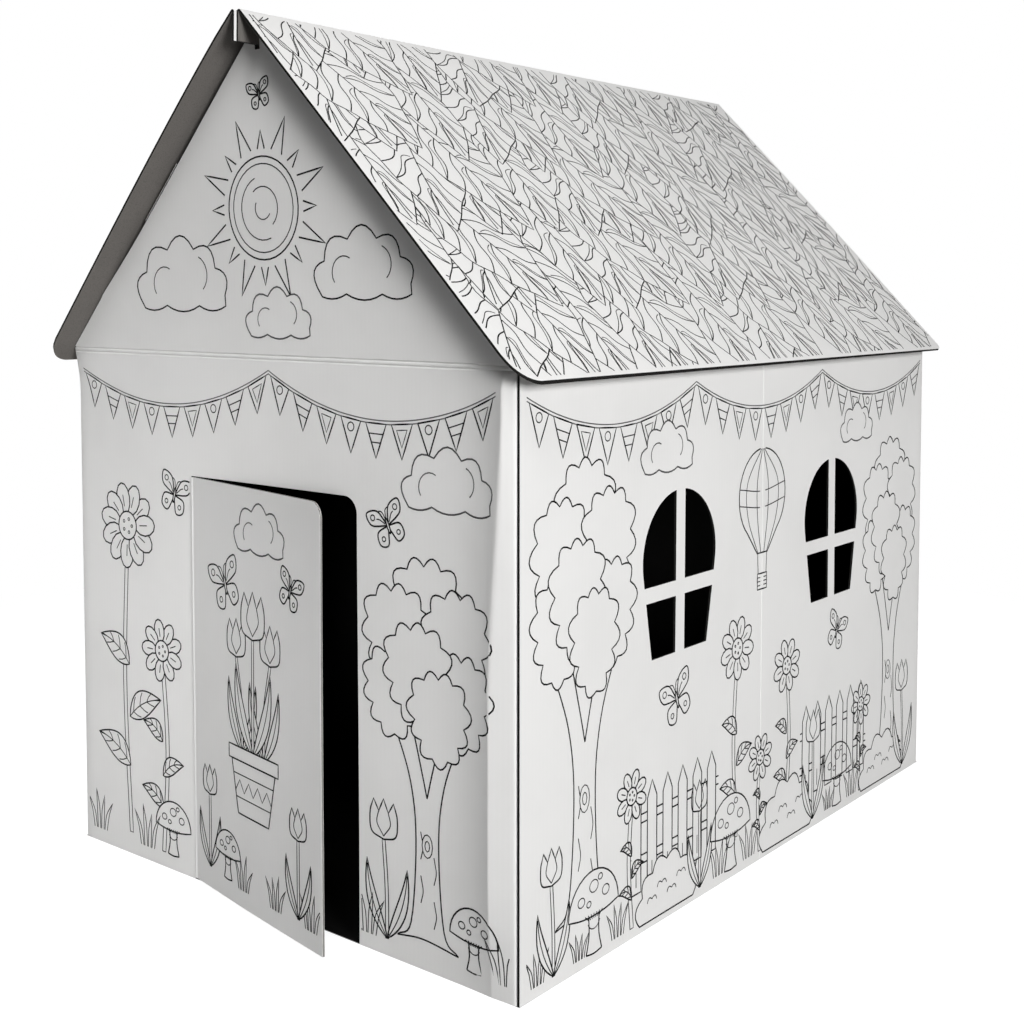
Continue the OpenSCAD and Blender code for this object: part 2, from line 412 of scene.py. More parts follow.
def select_faces(piece, test):
    """Enters edit mode with the faces selected whose middle passes a test of u and v."""
    use(piece)
    bpy.context.tool_settings.mesh_select_mode = (False, False, True)
    mesh = piece.data
    middles = np.empty(len(mesh.polygons) * 3)
    mesh.polygons.foreach_get("center", middles)
    middles = middles.reshape(-1, 3)
    mesh.vertices.foreach_set("select", np.zeros(len(mesh.vertices), bool))
    mesh.edges.foreach_set("select", np.zeros(len(mesh.edges), bool))
    mesh.polygons.foreach_set("select", test(middles[:, 0], middles[:, 1]))
    bpy.ops.object.mode_set(mode="EDIT")


def drop_faces(piece, test):
    select_faces(piece, test)
    bpy.ops.mesh.delete(type="FACE")
    bpy.ops.object.mode_set(mode="OBJECT")


def trim(piece, place, normal, test=lambda u, v: np.ones(len(u), bool)):
    """Cuts off what lies past a straight line, among the faces that pass a test."""
    select_faces(piece, test)
    bpy.ops.mesh.bisect(plane_co=(*place, 0), plane_no=(*normal, 0), clear_outer=True)
    bpy.ops.object.mode_set(mode="OBJECT")


def round_corner(piece, corner, radius, towards):
    """Rounds a right or nearly right corner of a blank by straight cuts round an arc."""
    centre = np.array(corner) - radius * np.array(towards)
    cuts = 9
    for k in range(1, cuts):
        turn = math.pi / 2 * k / cuts
        normal = np.array((math.cos(turn) * towards[0], math.sin(turn) * towards[1]))
        trim(piece, centre + radius * normal, normal)


def prism(name, outline, depth):
    """A closed block over an outline, for cutting through a board. It reaches as far above as below."""
    piece = added(name, bpy.ops.mesh.primitive_circle_add, vertices=len(outline), radius=1, fill_type="NGON")
    rim = np.column_stack([np.real(outline), np.imag(outline), np.full(len(outline), -depth)])
    piece.data.vertices.foreach_set("co", rim.ravel())
    bpy.ops.object.mode_set(mode="EDIT")
    bpy.ops.mesh.select_all(action="SELECT")
    bpy.ops.mesh.extrude_region_move(TRANSFORM_OT_translate={"value": (0, 0, 2 * depth)})
    bpy.ops.mesh.select_all(action="SELECT")
    bpy.ops.mesh.normals_make_consistent(inside=False)
    bpy.ops.object.mode_set(mode="OBJECT")
    return piece


def apply_modifier(piece, kind, **given):
    use(piece)
    modifier = piece.modifiers.new(kind.title(), kind)
    for key, value in given.items():
        setattr(modifier, key, value)
    bpy.ops.object.modifier_apply(modifier=modifier.name)


def thicken(piece):
    """Gives a blank its board thickness, below its face."""
    apply_modifier(piece, "SOLIDIFY", thickness=settings("board").thick, offset=-1.0)


def cut_out(piece, outlines):
    """Cuts openings through a board."""
    before = len(piece.data.polygons)
    for k, outline in enumerate(outlines):
        cutter = prism(f"cutter_{k}", outline, 5 * settings("board").thick)
        apply_modifier(piece, "BOOLEAN", operation="DIFFERENCE", solver="EXACT", object=cutter)
        bpy.data.objects.remove(cutter)
    if outlines and len(piece.data.polygons) == before:
        raise RuntimeError(f"no opening was cut in {piece.name}")


def points_of(piece):
    """The corners of a mesh, one row each."""
    flat = np.empty(len(piece.data.vertices) * 3)
    piece.data.vertices.foreach_get("co", flat)
    return flat.reshape(-1, 3)


def keep_flat(piece):
    """Keeps a board's flat place in its UV map, and each corner's depth in the board in an attribute."""
    mesh = piece.data
    flat = points_of(piece)
    while mesh.uv_layers:
        mesh.uv_layers.remove(mesh.uv_layers[0])
    layer = mesh.uv_layers.new(name="flat")
    corner = np.empty(len(mesh.loops), int)
    mesh.loops.foreach_get("vertex_index", corner)
    layer.data.foreach_set("uv", flat[corner, :2].ravel())
    depth = mesh.attributes.new("depth", "FLOAT", "POINT")
    depth.data.foreach_set("value", np.clip(-flat[:, 2] / settings("board").thick, 0, 1))


def fold(piece, folded):
    """Moves every corner of a flat piece to its place on the folded sheet."""
    piece.data.vertices.foreach_set("co", folded(points_of(piece)).ravel())
    piece.data.update()


def board_from(piece, folded):
    """Folds a cut and thickened blank, and smooths its bends."""
    keep_flat(piece)
    fold(piece, folded)
    use(piece)
    bpy.ops.object.shade_smooth_by_angle(angle=SMOOTH_BELOW)
    return piece


def join(pieces):
    use(pieces[0])
    for piece in pieces[1:]:
        piece.select_set(True)
    bpy.ops.object.join()
    return pieces[0]


def dress(piece, material, body, slot, *stands_for):
    """Gives a finished piece its material and body, and hides the CAD nodes that it stands for. The slot is
    not used.
    """
    piece.data.materials.clear()
    piece.data.materials.append(material)
    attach(piece, body)
    if stands_for:
        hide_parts(*stands_for)


# Wall sheets

def fold_length():
    """Length of card that a square corner fold takes up at its outer face."""
    return settings("board").fold_r * math.pi / 2


def gable_span():
    """Flat length of a gable wall between its corner folds."""
    board, walls = settings("board"), settings("walls")
    return 2 * HALF_W - board.thick - walls.lie_gap - 2 * board.fold_r


def from_left(x):
    """Place on the flat blank of a point of the gable wall, from its distance to the sheet's middle."""
    return x + HALF_W - settings("board").fold_r


def along_side(distance):
    """Place on the flat blank of a point of the side wall, from its distance to the gable wall's face."""
    return -fold_length() - (distance - settings("board").fold_r)


def gable_edge(x):
    """Height of the gable's sloping edge at a distance from its middle."""
    walls = settings("walls")
    return walls.wall_h + walls.shoulder_h + (HALF_W - np.abs(x)) * math.tan(settings("roof").pitch)


def wall_waves(u, v, front):
    """How far a wall sheet stands out of its flat place: its bow, and the front one's bent strip."""
    walls = settings("walls")
    span, high = gable_span(), walls.wall_h
    across = np.clip(u / span, 0, 1)
    along = np.clip((-fold_length() - u) / WALL_L, 0, 1)
    up = np.clip(v / high, 0, 1)
    gable_bow = np.sin(math.pi * across) ** 2 * np.sin(math.pi * up) * np.cos(5 * across + 2.5 * up)
    side_bow = np.sin(2 * math.pi * along) * np.sin(math.pi * up) * np.cos(2 * up + 0.6)
    waves = walls.bow * np.where(u > 0, gable_bow, np.where(u < -fold_length(), side_bow, 0))
    if front:
        edge = span + fold_length() - u
        width = walls.strip_low + (walls.strip_top - walls.strip_low) * smooth(0.45 * high, 0.95 * high, v)
        held = smooth(0.0, 0.03 * high, high - v) * (0.2 + 0.8 * smooth(0.0, 0.16 * high, v))
        swell = walls.strip_out * np.clip((width + walls.strip_run - edge) / walls.strip_run, 0, 1) ** 2.5
        fall = (walls.strip_out + walls.strip_in) * np.clip((width - edge) / width, 0, 1)
        bent = np.where(edge > width, swell, walls.strip_out - fall)
        waves = waves + held * np.where((u > 0) & (u <= span + fold_length()), bent, 0)
    return waves


def score_marks(u, v):
    """Depth of the pressed score lines: two across the gable wall, one down the middle of the side wall."""
    board, walls = settings("board"), settings("walls")
    off_middle = np.abs(v - walls.wall_h + walls.double_score / 2)
    off_line = np.where(u > -fold_length() / 2, np.abs(off_middle - walls.double_score / 2), 1)
    across = walls.double_d * np.clip(1 - 2 * off_line / walls.double_w, 0, 1)
    off_crease = np.abs(u - along_side(WALL_L / 2))
    return np.maximum(across, board.score_d * np.clip(1 - 2 * off_crease / board.score_w, 0, 1))


def stand(x, y, z, front):
    """Points of the front sheet, or of the back one, which is the front one turned half round."""
    return np.column_stack([x, y, z] if front else [-x, 2 * MID_Y - y, z])


def fold_walls(flat, front):
    """Place in the frame of points on a flat wall blank."""
    board, walls = settings("board"), settings("walls")
    u, v, w = flat.T
    radius, arc, span = board.fold_r, fold_length(), gable_span()
    out = w + wall_waves(u, v, front) - np.where(w > -board.thick / 2, score_marks(u, v), 0)
    flap_x = HALF_W - board.thick - walls.lie_gap
    left_turn = np.clip(-u / arc, 0, 1) * math.pi / 2
    right_turn = np.clip((u - span) / arc, 0, 1) * math.pi / 2
    x = np.where(u < span / 2,
                 -HALF_W + radius + np.maximum(u, 0) - (radius + out) * np.sin(left_turn),
                 flap_x - radius + np.minimum(u - span, 0) + (radius + out) * np.sin(right_turn))
    past_folds = np.maximum(-u - arc, 0) + np.maximum(u - span - arc, 0)
    y = FRONT_Y + radius - (radius + out) * np.cos(left_turn + right_turn) + past_folds
    lean = walls.lean if front else 0.0
    rise = np.maximum(v - walls.wall_h, 0)
    leaning = rise > 0
    z = np.minimum(v, walls.wall_h) + rise * math.cos(lean) - np.where(leaning, out * math.sin(lean), 0)
    y = y - rise * math.sin(lean)
    if front:
        open_h = smooth(walls.wall_h - walls.flare_h, walls.wall_h + walls.shoulder_h, v) ** 1.3
        gable_run, side_run, shoulder_w, under_roof = 0.16, 0.42, 0.06, 0.4 * MM
        fade = np.where(u > 0, smooth(gable_run, 0.0, u), smooth(-side_run, 0.0, u))
        x = x - walls.flare * open_h * fade
        ceiling = gable_edge(x) - under_roof
        z = np.minimum(z, np.where(np.abs(x) > HALF_W - shoulder_w, ceiling, np.inf))
    return stand(x, y, z, front)


def window_outlines(middle):
    """The four panes of one window, drawn with its sill's middle at a place on the blank."""
    walls = settings("walls")
    sine, cosine = math.sin(walls.taper), math.cos(walls.taper)
    arch_r = (walls.sill_w / 2 * cosine + walls.window_h * sine) / (1 + sine)
    arch_z = walls.window_h - arch_r
    turns = np.linspace(-walls.taper, math.pi + walls.taper, 41)
    arch = 1j * arch_z + arch_r * np.exp(1j * turns)
    whole = np.concatenate([[-walls.sill_w / 2, walls.sill_w / 2], arch])
    panes = []
    for side in (-1, 1):
        for level in (-1, 1):
            bar_edge = walls.bar_z + level * walls.bar_h / 2
            pane = half_of(whole, side * walls.bar_w / 2, side)
            panes.append(middle + 1j * half_of(-1j * pane, bar_edge, level))
    return panes


def half_of(outline, limit, side):
    """The part of a convex outline whose real part lies past a limit."""
    gap = (outline.real - limit) * side
    kept = []
    for k, here in enumerate(outline):
        before = k - 1
        if (gap[before] > 0) != (gap[k] > 0):
            share = gap[before] / (gap[before] - gap[k])
            kept.append(outline[before] + share * (here - outline[before]))
        if gap[k] > 0:
            kept.append(here)
    return np.array(kept)


def rectangle(left, bottom, right, top):
    return np.array([left + 1j * bottom, right + 1j * bottom, right + 1j * top, left + 1j * top])


def door_outline(grow):
    """Outline of the doorway on the front blank, with its free top corner rounded."""
    walls = settings("walls")
    left, right = from_left(-walls.door_w / 2) - grow, from_left(walls.door_w / 2) + grow
    top = walls.door_h + grow
    centre = right - walls.door_r + 1j * (top - walls.door_r)
    corner = centre + walls.door_r * np.exp(1j * np.linspace(0, math.pi / 2, 9))
    foot = -1j * PAST_EDGE
    return np.concatenate([[left + foot, right + foot], corner, [left + 1j * top]])


def wall_marks():
    """Where a wall blank is cut across, so that it bends cleanly at its folds, scores and bent strip."""
    board, walls = settings("board"), settings("walls")
    arc, span = fold_length(), gable_span()
    half = board.score_w / 2
    folds = [k * arc / 4 for k in range(5)]
    crease = along_side(WALL_L / 2)
    u_marks = [-f for f in folds] + [span + f for f in folds] + [crease - half, crease, crease + half]
    u_marks += [crease - half - MM, crease + half + MM]
    side_step, flare_step, strip_step, swell_step = 12 * MM, 16 * MM, 2 * MM, 8 * MM
    u_marks += [-arc - side_step * k for k in range(1, 11)] + [flare_step * k for k in range(1, 9)]
    u_marks += [span + arc - strip_step * k for k in range(5, 22)]
    u_marks += [span + arc - 22 * strip_step - swell_step * k for k in range(1, 11)]
    line = walls.double_w / 2
    score = [walls.wall_h + walls.double_score * k + line * side for k in (0, -1) for side in (-1, 0, 1)]
    score += [walls.wall_h + line + MM, walls.wall_h - walls.double_score - line - MM]
    v_marks = score + [walls.wall_h - side_step * k for k in range(1, 7)]
    return u_marks, v_marks


def wall_sheet(name, front):
    """One folded wall sheet: side wall, gable wall, glued flap and roof tabs."""
    board, walls = settings("board"), settings("walls")
    arc, span = fold_length(), gable_span()
    pitch = settings("roof").pitch
    low = (along_side(WALL_L - walls.seam_set), 0.0)
    high = (span + arc + walls.flap_w - board.fold_r, float(gable_edge(0)))
    piece = blank(name, low, high, wall_marks())
    drop_faces(piece, lambda u, v: (v > walls.wall_h) & ((u < 0) | (u > span)))
    for side in (-1, 1):
        slope = np.array((side * math.sin(pitch), math.cos(pitch)))
        corner = np.array((from_left(side * HALF_W), walls.wall_h + walls.shoulder_h))
        trim(piece, corner - walls.slope_gap * slope, slope, lambda u, v: v > walls.wall_h)
    thicken(piece)
    notch_z = ROOF_HIGH.z - settings("roof").flange_d - walls.notch_foot
    openings = [rectangle(from_left(-walls.notch_x), notch_z, from_left(walls.notch_x), high[1] + PAST_EDGE)]
    if front:
        openings.append(door_outline(0.0))
    else:
        for place in (-walls.window_y, walls.window_y):
            openings += window_outlines(along_side(WALL_L / 2 + place) + 1j * walls.sill_z)
    cut_out(piece, openings)
    board_from(piece, lambda flat: fold_walls(flat, front))
    return join([piece] + [roof_tab(f"{name}_tab", side, front) for side in (-1, 1)])


def roof_tab(name, side, front):
    """A tab folded in from the gable's slope, with its free corners cut off."""
    walls, pitch = settings("walls"), settings("roof").pitch
    lean = walls.lean if front else 0.0
    bend = walls.tab_r * math.pi / 2
    piece = blank(name, (0, 0), (walls.tab_l, walls.tab_d), ((), [bend * k / 4 for k in range(1, 5)]))
    slant = (0.85, 0.53)
    for end, way in ((0, -1), (walls.tab_l, 1)):
        trim(piece, (end - way * walls.tab_cut, walls.tab_d), (way * slant[0], slant[1]))
    thicken(piece)

    def folded(flat):
        s, t, w = flat.T
        up = walls.tab_s + (walls.tab_l - s if side < 0 else s)
        theta = np.clip(t / bend, 0, 1) * math.pi / 2
        below = walls.tab_r - (walls.tab_r + w) * np.sin(theta)
        behind = walls.tab_r - (walls.tab_r + w) * np.cos(theta) + np.maximum(t - bend, 0)
        x = side * (HALF_W - up * math.cos(pitch) - below * math.sin(pitch))
        z = walls.wall_h + walls.shoulder_h + up * math.sin(pitch) - below * math.cos(pitch)
        y = FRONT_Y - (z - walls.wall_h) * math.tan(lean) + behind
        return stand(x, y, z, front)

    return board_from(piece, folded)


# Roof sheets

def slope_length():
    """Length of the roof's slope from the ridge fold to the eave."""
    board, pitch = settings("board"), settings("roof").pitch
    return (ROOF_HIGH.x - board.thick * math.sin(pitch) - ROOF_LOW.x - board.thick) / math.cos(pitch)


def ridge_fold():
    """Slope length lost to the ridge fold, its length at the outer face, and its turn."""
    board, pitch = settings("board"), settings("roof").pitch
    turn = math.pi / 2 + pitch
    lost = board.ridge_r * math.tan(turn / 2)
    return lost, (board.ridge_r + board.thick) * turn, turn


def fold_roof(flat, right):
    """Place in the frame of points on a roof blank: u along the ridge, v up to the ridge fold at 0."""
    board, roof = settings("board"), settings("roof")
    u, v, w = flat.T
    lost, arc, turn = ridge_fold()
    sine, cosine = math.sin(roof.pitch), math.cos(roof.pitch)
    slope = slope_length()
    down = np.clip(-v / slope, 0, 1)
    end = np.clip((u - ROOF_LOW.y + ROOF_MID_Y) / (ROOF_HIGH.y - ROOF_LOW.y), 0, 1)
    nose = 1 - end if right else end
    wave = np.sin(math.pi * down) * (0.55 * np.sin(2.2 * math.pi * end + 0.7) - 0.5 * np.sin(math.pi * end))
    out = w + np.where(v < 0, roof.bow * wave, 0)
    if not right:
        out = out + roof.swell * nose ** 2 * np.sin(math.pi * down ** 0.6) * np.where(v < 0, 1, 0)
    root_x, root_z = ROOF_LOW.x + board.thick, ROOF_HIGH.z - board.thick
    centre_x = root_x + board.ridge_r
    centre_z = root_z - board.ridge_r * (1 + sine) / cosine
    theta = np.clip(v / arc, 0, 1) * turn
    reach = board.ridge_r + board.thick + out
    facing = math.pi / 2 - roof.pitch + theta
    pressed = np.clip(1 - (slope - lost + v) / roof.front_r, 0, 1) * (0.3 + 0.7 * nose)
    fall = np.maximum(-v, 0) - roof.crush * pressed * w / board.thick
    hang = np.maximum(v - arc, 0)
    x = centre_x + reach * np.cos(facing) + fall * cosine
    z = centre_z + reach * np.sin(facing) - fall * sine - hang
    z = z + roof.lift * nose ** 2 * (1 - down)
    way = 1 if right else -1
    y = ROOF_MID_Y + way * u - (0 if right else roof.slide)
    return np.column_stack([way * x, y, z])


def roof_sheet(name, right):
    """One roof sheet: a sloping panel, longer at the ridge, with a flange folded down at the ridge."""
    board, roof = settings("board"), settings("roof")
    lost, arc, _ = ridge_fold()
    slope = slope_length()
    bottom = lost - slope
    top = arc + roof.flange_d - board.thick - lost
    marks = ((), [k * arc / 6 for k in range(7)])
    spare = 10 * MM
    piece = blank(name, (-ROOF_HALF - spare, bottom), (ROOF_HALF + spare, top), marks)
    slant = np.array((slope, roof.prow)) / math.hypot(slope, roof.prow)
    way = -1 if right else 1
    trim(piece, (way * (ROOF_HALF - roof.prow), bottom), (way * slant[0], -slant[1]))
    trim(piece, (-way * ROOF_HALF, 0), (-way, 0))
    round_corner(piece, (way * (ROOF_HALF - roof.prow), bottom), roof.front_r, (way, -1))
    round_corner(piece, (-way * ROOF_HALF, bottom), roof.back_r, (-way, -1))
    thicken(piece)
    return board_from(piece, lambda flat: fold_roof(flat, right))


# Door

def fold_door(flat):
    """Place in the frame of points on the flat door: u from the hinge, v up, w out of the face."""
    walls = settings("walls")
    u, v, w = flat.T
    across, up = u / walls.door_w, v / walls.door_h
    belly, sag, crease_h, crease_w = 1.6 * MM, 2.2 * MM, 0.9 * MM, 2.5 * MM
    out = w + belly * np.sin(math.pi * across) * np.cos(2.4 * up) - sag * across * (up - 0.4) ** 2
    out = out + crease_h * np.clip(1 - np.abs(u - crease_w) / crease_w, 0, 1)
    sine, cosine = math.sin(walls.door_open), math.cos(walls.door_open)
    x = HINGE[0] + u * cosine - out * sine
    y = HINGE[1] - u * sine - out * cosine
    return np.column_stack([x, y, v])


def door_panel():
    """The door flap, cut from the front wall with its free top corner rounded."""
    walls = settings("walls")
    low = (walls.lie_gap, walls.door_foot)
    high = (walls.door_w - walls.door_gap, walls.door_h - walls.door_gap)
    piece = blank("door_flap", low, high, ([k * MM for k in (1.2, 2.5, 3.8, 5.0, 6.0)], ()))
    round_corner(piece, high, walls.door_r - walls.door_gap, (1, 1))
    thicken(piece)
    return board_from(piece, fold_door)


# Line drawing on the flat sheets, in metres, with places as complex numbers

def turned(degrees):
    return np.exp(1j * math.radians(degrees))


def ring(centre, radius, squash=1.0, tilt=0.0, count=22):
    """A circle or an ellipse."""
    t = np.linspace(0, 2 * math.pi, count + 1)
    return centre + turned(tilt) * radius * (np.cos(t) + 1j * squash * np.sin(t))


def arc(centre, radius, start, end, count=10):
    return centre + radius * np.exp(1j * np.radians(np.linspace(start, end, count)))


def through(places, count=6):
    """A smooth curve through some places."""
    p = np.array(places, complex)
    q = np.concatenate([2 * p[:1] - p[1:2], p, 2 * p[-1:] - p[-2:-1]])
    t = np.linspace(0, 1, count, endpoint=False)[None, :]
    a, b, c, d = (q[k:len(q) - 3 + k, None] for k in range(4))
    bend = (2 * a - 5 * b + 4 * c - d) * t ** 2 + (3 * b - a - 3 * c + d) * t ** 3
    return np.append((0.5 * (2 * b + (c - a) * t + bend)).ravel(), p[-1])


def scallops(anchors, bulge, count=6):
    """Bumps between some places, swelling to the right of the way along them."""
    p = np.array(anchors, complex)
    t = np.linspace(0, 1, count, endpoint=False)[None, :]
    chord = (p[1:] - p[:-1])[:, None]
    return np.append((p[:-1, None] + chord * (t - 4j * bulge * t * (1 - t))).ravel(), p[-1])


def straight(start, end, step=0.012):
    count = max(2, int(abs(end - start) / step) + 1)
    return start + (end - start) * np.linspace(0, 1, count)


def within(places, outline):
    """Which places lie inside a closed outline."""
    x, y = places.real[:, None], places.imag[:, None]
    ax, ay = outline.real, outline.imag
    bx, by = np.roll(ax, -1), np.roll(ay, -1)
    crosses = (ay > y) != (by > y)
    at = ax + (y - ay) * (bx - ax) / np.where(by == ay, 1.0, by - ay)
    return (crosses & (x < at)).sum(1) % 2 == 1


def apart(a, b):
    """True if the boxes round two rows of places don't meet."""
    return (a.real.max() < b.real.min() or b.real.max() < a.real.min()
            or a.imag.max() < b.imag.min() or b.imag.max() < a.imag.min())


def kept_runs(places, outline, inner):
    """The runs of a stroke that lie inside an outline, or outside it."""
    kept = within(places, outline) == inner
    if kept.all():
        return [places]
    runs, run = [], []
    for k, here in enumerate(places):
        if k and kept[k] != kept[k - 1]:
            good, bad = (here, places[k - 1]) if kept[k] else (places[k - 1], here)
            for _ in range(8):
                half = (good + bad) / 2
                if (within(np.array([half]), outline) == inner)[0]:
                    good = half
                else:
                    bad = half
            run.append(good)
            if not kept[k]:
                runs.append(np.array(run))
                run = []
        if kept[k]:
            run.append(here)
    runs.append(np.array(run))
    return [r for r in runs if len(r) > 1]


class Drawing:
    """Pen strokes on a flat sheet. A shape hides what was drawn under it."""

    def __init__(self, seed):
        self.strokes = []
        self.random = np.random.default_rng(seed)
        self.pen = settings("print").pen
        self.fine = settings("print").fine_pen

    def line(self, places, fine=False, tone=0.0):
        self.strokes.append((np.asarray(places, complex), self.fine if fine else self.pen, tone))

    def curve(self, places, fine=False, count=6):
        """A smooth line through some places."""
        self.line(through(places, count), fine)

    def cut(self, outline, inner=False):
        """Keeps only what lies outside an outline, or inside it."""
        kept = []
        for places, width, tone in self.strokes:
            if apart(places, outline):
                runs = [] if inner else [places]
            else:
                runs = kept_runs(places, outline, inner)
            kept += [(run, width, tone) for run in runs]
        self.strokes = kept

    def shape(self, outline, fine=False, tone=0.0):
        """A closed outline with nothing showing through it."""
        outline = np.asarray(outline, complex)
        self.cut(outline)
        self.line(np.append(outline, outline[0]), fine, tone)

    def spread(self, low, high):
        return self.random.uniform(low, high)


def leaf(d, root, tip, width, bend=0.0, veins=4):
    """A pointed leaf with a midrib and side veins."""
    axis = tip - root
    side = 1j * axis / abs(axis)
    t = np.linspace(0, 1, 15)
    middle = root + axis * t + side * bend * 4 * t * (1 - t)
    half = width / 2 * np.sin(math.pi * t ** 0.8)
    d.shape(np.concatenate([middle + side * half, (middle - side * half)[-2:0:-1]]))
    d.line(middle[:-1], True)
    for k in range(veins):
        at = 0.14 + 0.68 * k / max(veins - 1, 1)
        to = min(at + 0.17, 0.98)
        rib = np.interp([at, (at + to) / 2, to], t, middle)
        out = 0.84 * np.interp(to, t, half) * side * np.array([0, 0.62, 1])
        for way in (-1, 1):
            d.curve(rib + way * out, True, 4)


def grass(d, foot, height, blades=4):
    """A tuft of grass."""
    width = 0.05 * height
    for k in range(blades):
        lean = (k - (blades - 1) / 2) / blades
        tall = height * (1 - 0.5 * abs(lean)) * d.spread(0.8, 1.1)
        start = foot + height * 0.55 * lean
        tip = start + 1j * tall + height * lean * 0.8
        rib = start + 0.55j * tall + height * lean * 0.25
        left = through([start - width, rib - width, tip], 4)
        right = through([tip, rib + width, start + width], 4)
        d.line(np.concatenate([left, right]), True)


def cloud(d, middle, width, tone=0.0):
    """A cloud with a flat foot."""
    turns = np.radians([8, 38, 72, 108, 146, 176])
    top = middle + width * (0.5 * np.cos(turns) + 0.42j * np.sin(turns))
    foot = middle + width * (np.array([-0.5, -0.18, 0.2, 0.5]) - 0.02j)
    d.shape(np.concatenate([scallops(top, 0.34), scallops(foot, 0.12)[1:]]), tone=tone)
    d.line(arc(middle + width * (-0.2 + 0.1428j), 0.13 * width, 60, 215), True, tone)
    d.line(arc(middle + width * (0.16 + 0.21j), 0.14 * width, -50, 70), True, tone)


def crown(d, middle, wide, tall, bumps=11):
    """One leafy tuft of a tree."""
    turns = np.radians(np.linspace(0, 360, bumps + 1) + d.spread(0, 30))
    swell = 1 + 0.08 * np.sin(3 * turns)
    rim = middle + swell * (wide * np.cos(turns) + 1j * tall * np.sin(turns))
    rim[-1] = rim[0]
    d.shape(scallops(rim, 0.45)[:-1])


def tree(d, foot, height, wide):
    """A tree with a flared trunk, two boughs and a crown of leafy tufts."""
    trunk = 0.085 * height
    for side in (-1, 1):
        bark = side * trunk * np.array([1.3, 0.7, 0.48, 0.72, 1.45])
        d.curve(foot + bark + 1j * height * np.array([0, 0.05, 0.28, 0.44, 0.5916]))
        fork = side * trunk * np.array([0, 0.22, 0.7])
        d.curve(foot + fork + 1j * height * np.array([0.4, 0.47, 0.6148]))
    for k in range(4):
        start = foot + trunk * 0.28 * (-1) ** k + 1j * height * (0.05 + 0.06 * k)
        d.curve(start + np.array([0, 0.1 * trunk + 0.035j * height, 0.075j * height]), True)
    knot = foot + 0.27j * height
    d.shape(ring(knot, 0.22 * trunk, 1.7, count=12)[:-1], True)
    d.line(ring(knot, 0.1 * trunk, 1.7, count=8), True)
    d.curve(foot + np.array([-1.3 * trunk, -0.2 * trunk + 0.012j * height, 1.3 * trunk]))
    middle, tall = foot + 0.74j * height, 0.26 * height
    tufts = ((0.0, 0.62, 0.5), (-0.5, 0.34, 0.47), (0.5, 0.38, 0.46), (-0.56, -0.26, 0.42),
             (0.56, -0.22, 0.43), (-0.16, -0.02, 0.46), (0.2, -0.44, 0.42))
    for x, y, size in tufts:
        crown(d, middle + x * wide / 2 + 1j * y * tall, size * wide / 2, size * tall * 1.02)


def bush(d, foot, width, height, bumps=7):
    """A low rounded bush on the ground line."""
    turns = np.radians(np.linspace(-4, 184, bumps))
    d.shape(scallops(foot + width / 2 * np.cos(turns) + 1j * height * np.sin(turns), 0.36))
    for k in range(4):
        spot = foot + width * (0.18 * k - 0.27) + 1j * height * (0.3 + 0.22 * (k % 2))
        d.line(scallops(spot + 0.085 * width * np.array([1, 0.3j, -1]), 0.4, 5), True)


def daisy(d, middle, radius, petals):
    """A flower head of round petals."""
    start = d.spread(0, 40)
    t = np.linspace(0, 2 * math.pi, 13)[:-1]
    petal = 0.64 + 0.36 * np.cos(t) + 0.24j * np.sin(t)
    for k in range(petals):
        way = radius * turned(start + 360 * k / petals)
        d.shape(middle + way * petal)
        d.line(middle + way * np.array([0.45, 0.72]), True)
    d.shape(ring(middle, 0.33 * radius)[:-1])
    for k in range(5):
        d.line(ring(middle + 0.16 * radius * turned(72 * k), 0.035 * radius, count=6), True)


def stem(d, foot, top, bend, thick=0.0035):
    """A stalk drawn with two lines."""
    side = 1j * (top - foot) / abs(top - foot)
    curve = through([foot, (foot + top) / 2 + side * bend, top])
    d.shape(np.concatenate([curve + side * thick, (curve - side * thick)[::-1]]), True)


def tall_flower(d, foot, height, radius, bend=0.01, petals=11):
    """A tall flower with a stalk and broad leaves."""
    top = foot + 1j * height
    stem(d, foot, top, bend)
    for share, way in ((0.22, -1), (0.38, 1), (0.55, -1)):
        root = foot + 1j * height * share
        tip = root + height * (0.18 * way * (1 - 0.3 * share) + 0.08j)
        leaf(d, root, tip, 0.085 * height, 0.007 * way)
    daisy(d, top, radius, petals)


def tulip(d, foot, height, bend=0.0):
    """A tulip with two long leaves."""
    top = foot + 0.72j * height + bend
    stem(d, foot, top, bend * 0.4, 0.0025)
    for way in (-1, 1):
        leaf(d, foot, foot + height * (0.2 * way + 0.55j), 0.1 * height, -way * 0.05 * height, 0)
    size = 0.16 * height
    cup = np.array([0, 0.75 + 0.25j, 0.85 + 1.1j, 0.62 + 1.75j])
    notch = np.array([0.3 + 1.25j, 1.85j, -0.3 + 1.25j])
    d.shape(top + size * np.concatenate([through(cup), notch, through(-np.conj(cup[::-1]))]))
    for way in (-1, 1):
        d.curve(top + size * np.array([0.3 * way + 1.25j, 0.42 * way + 0.7j, 0.15j]), True)


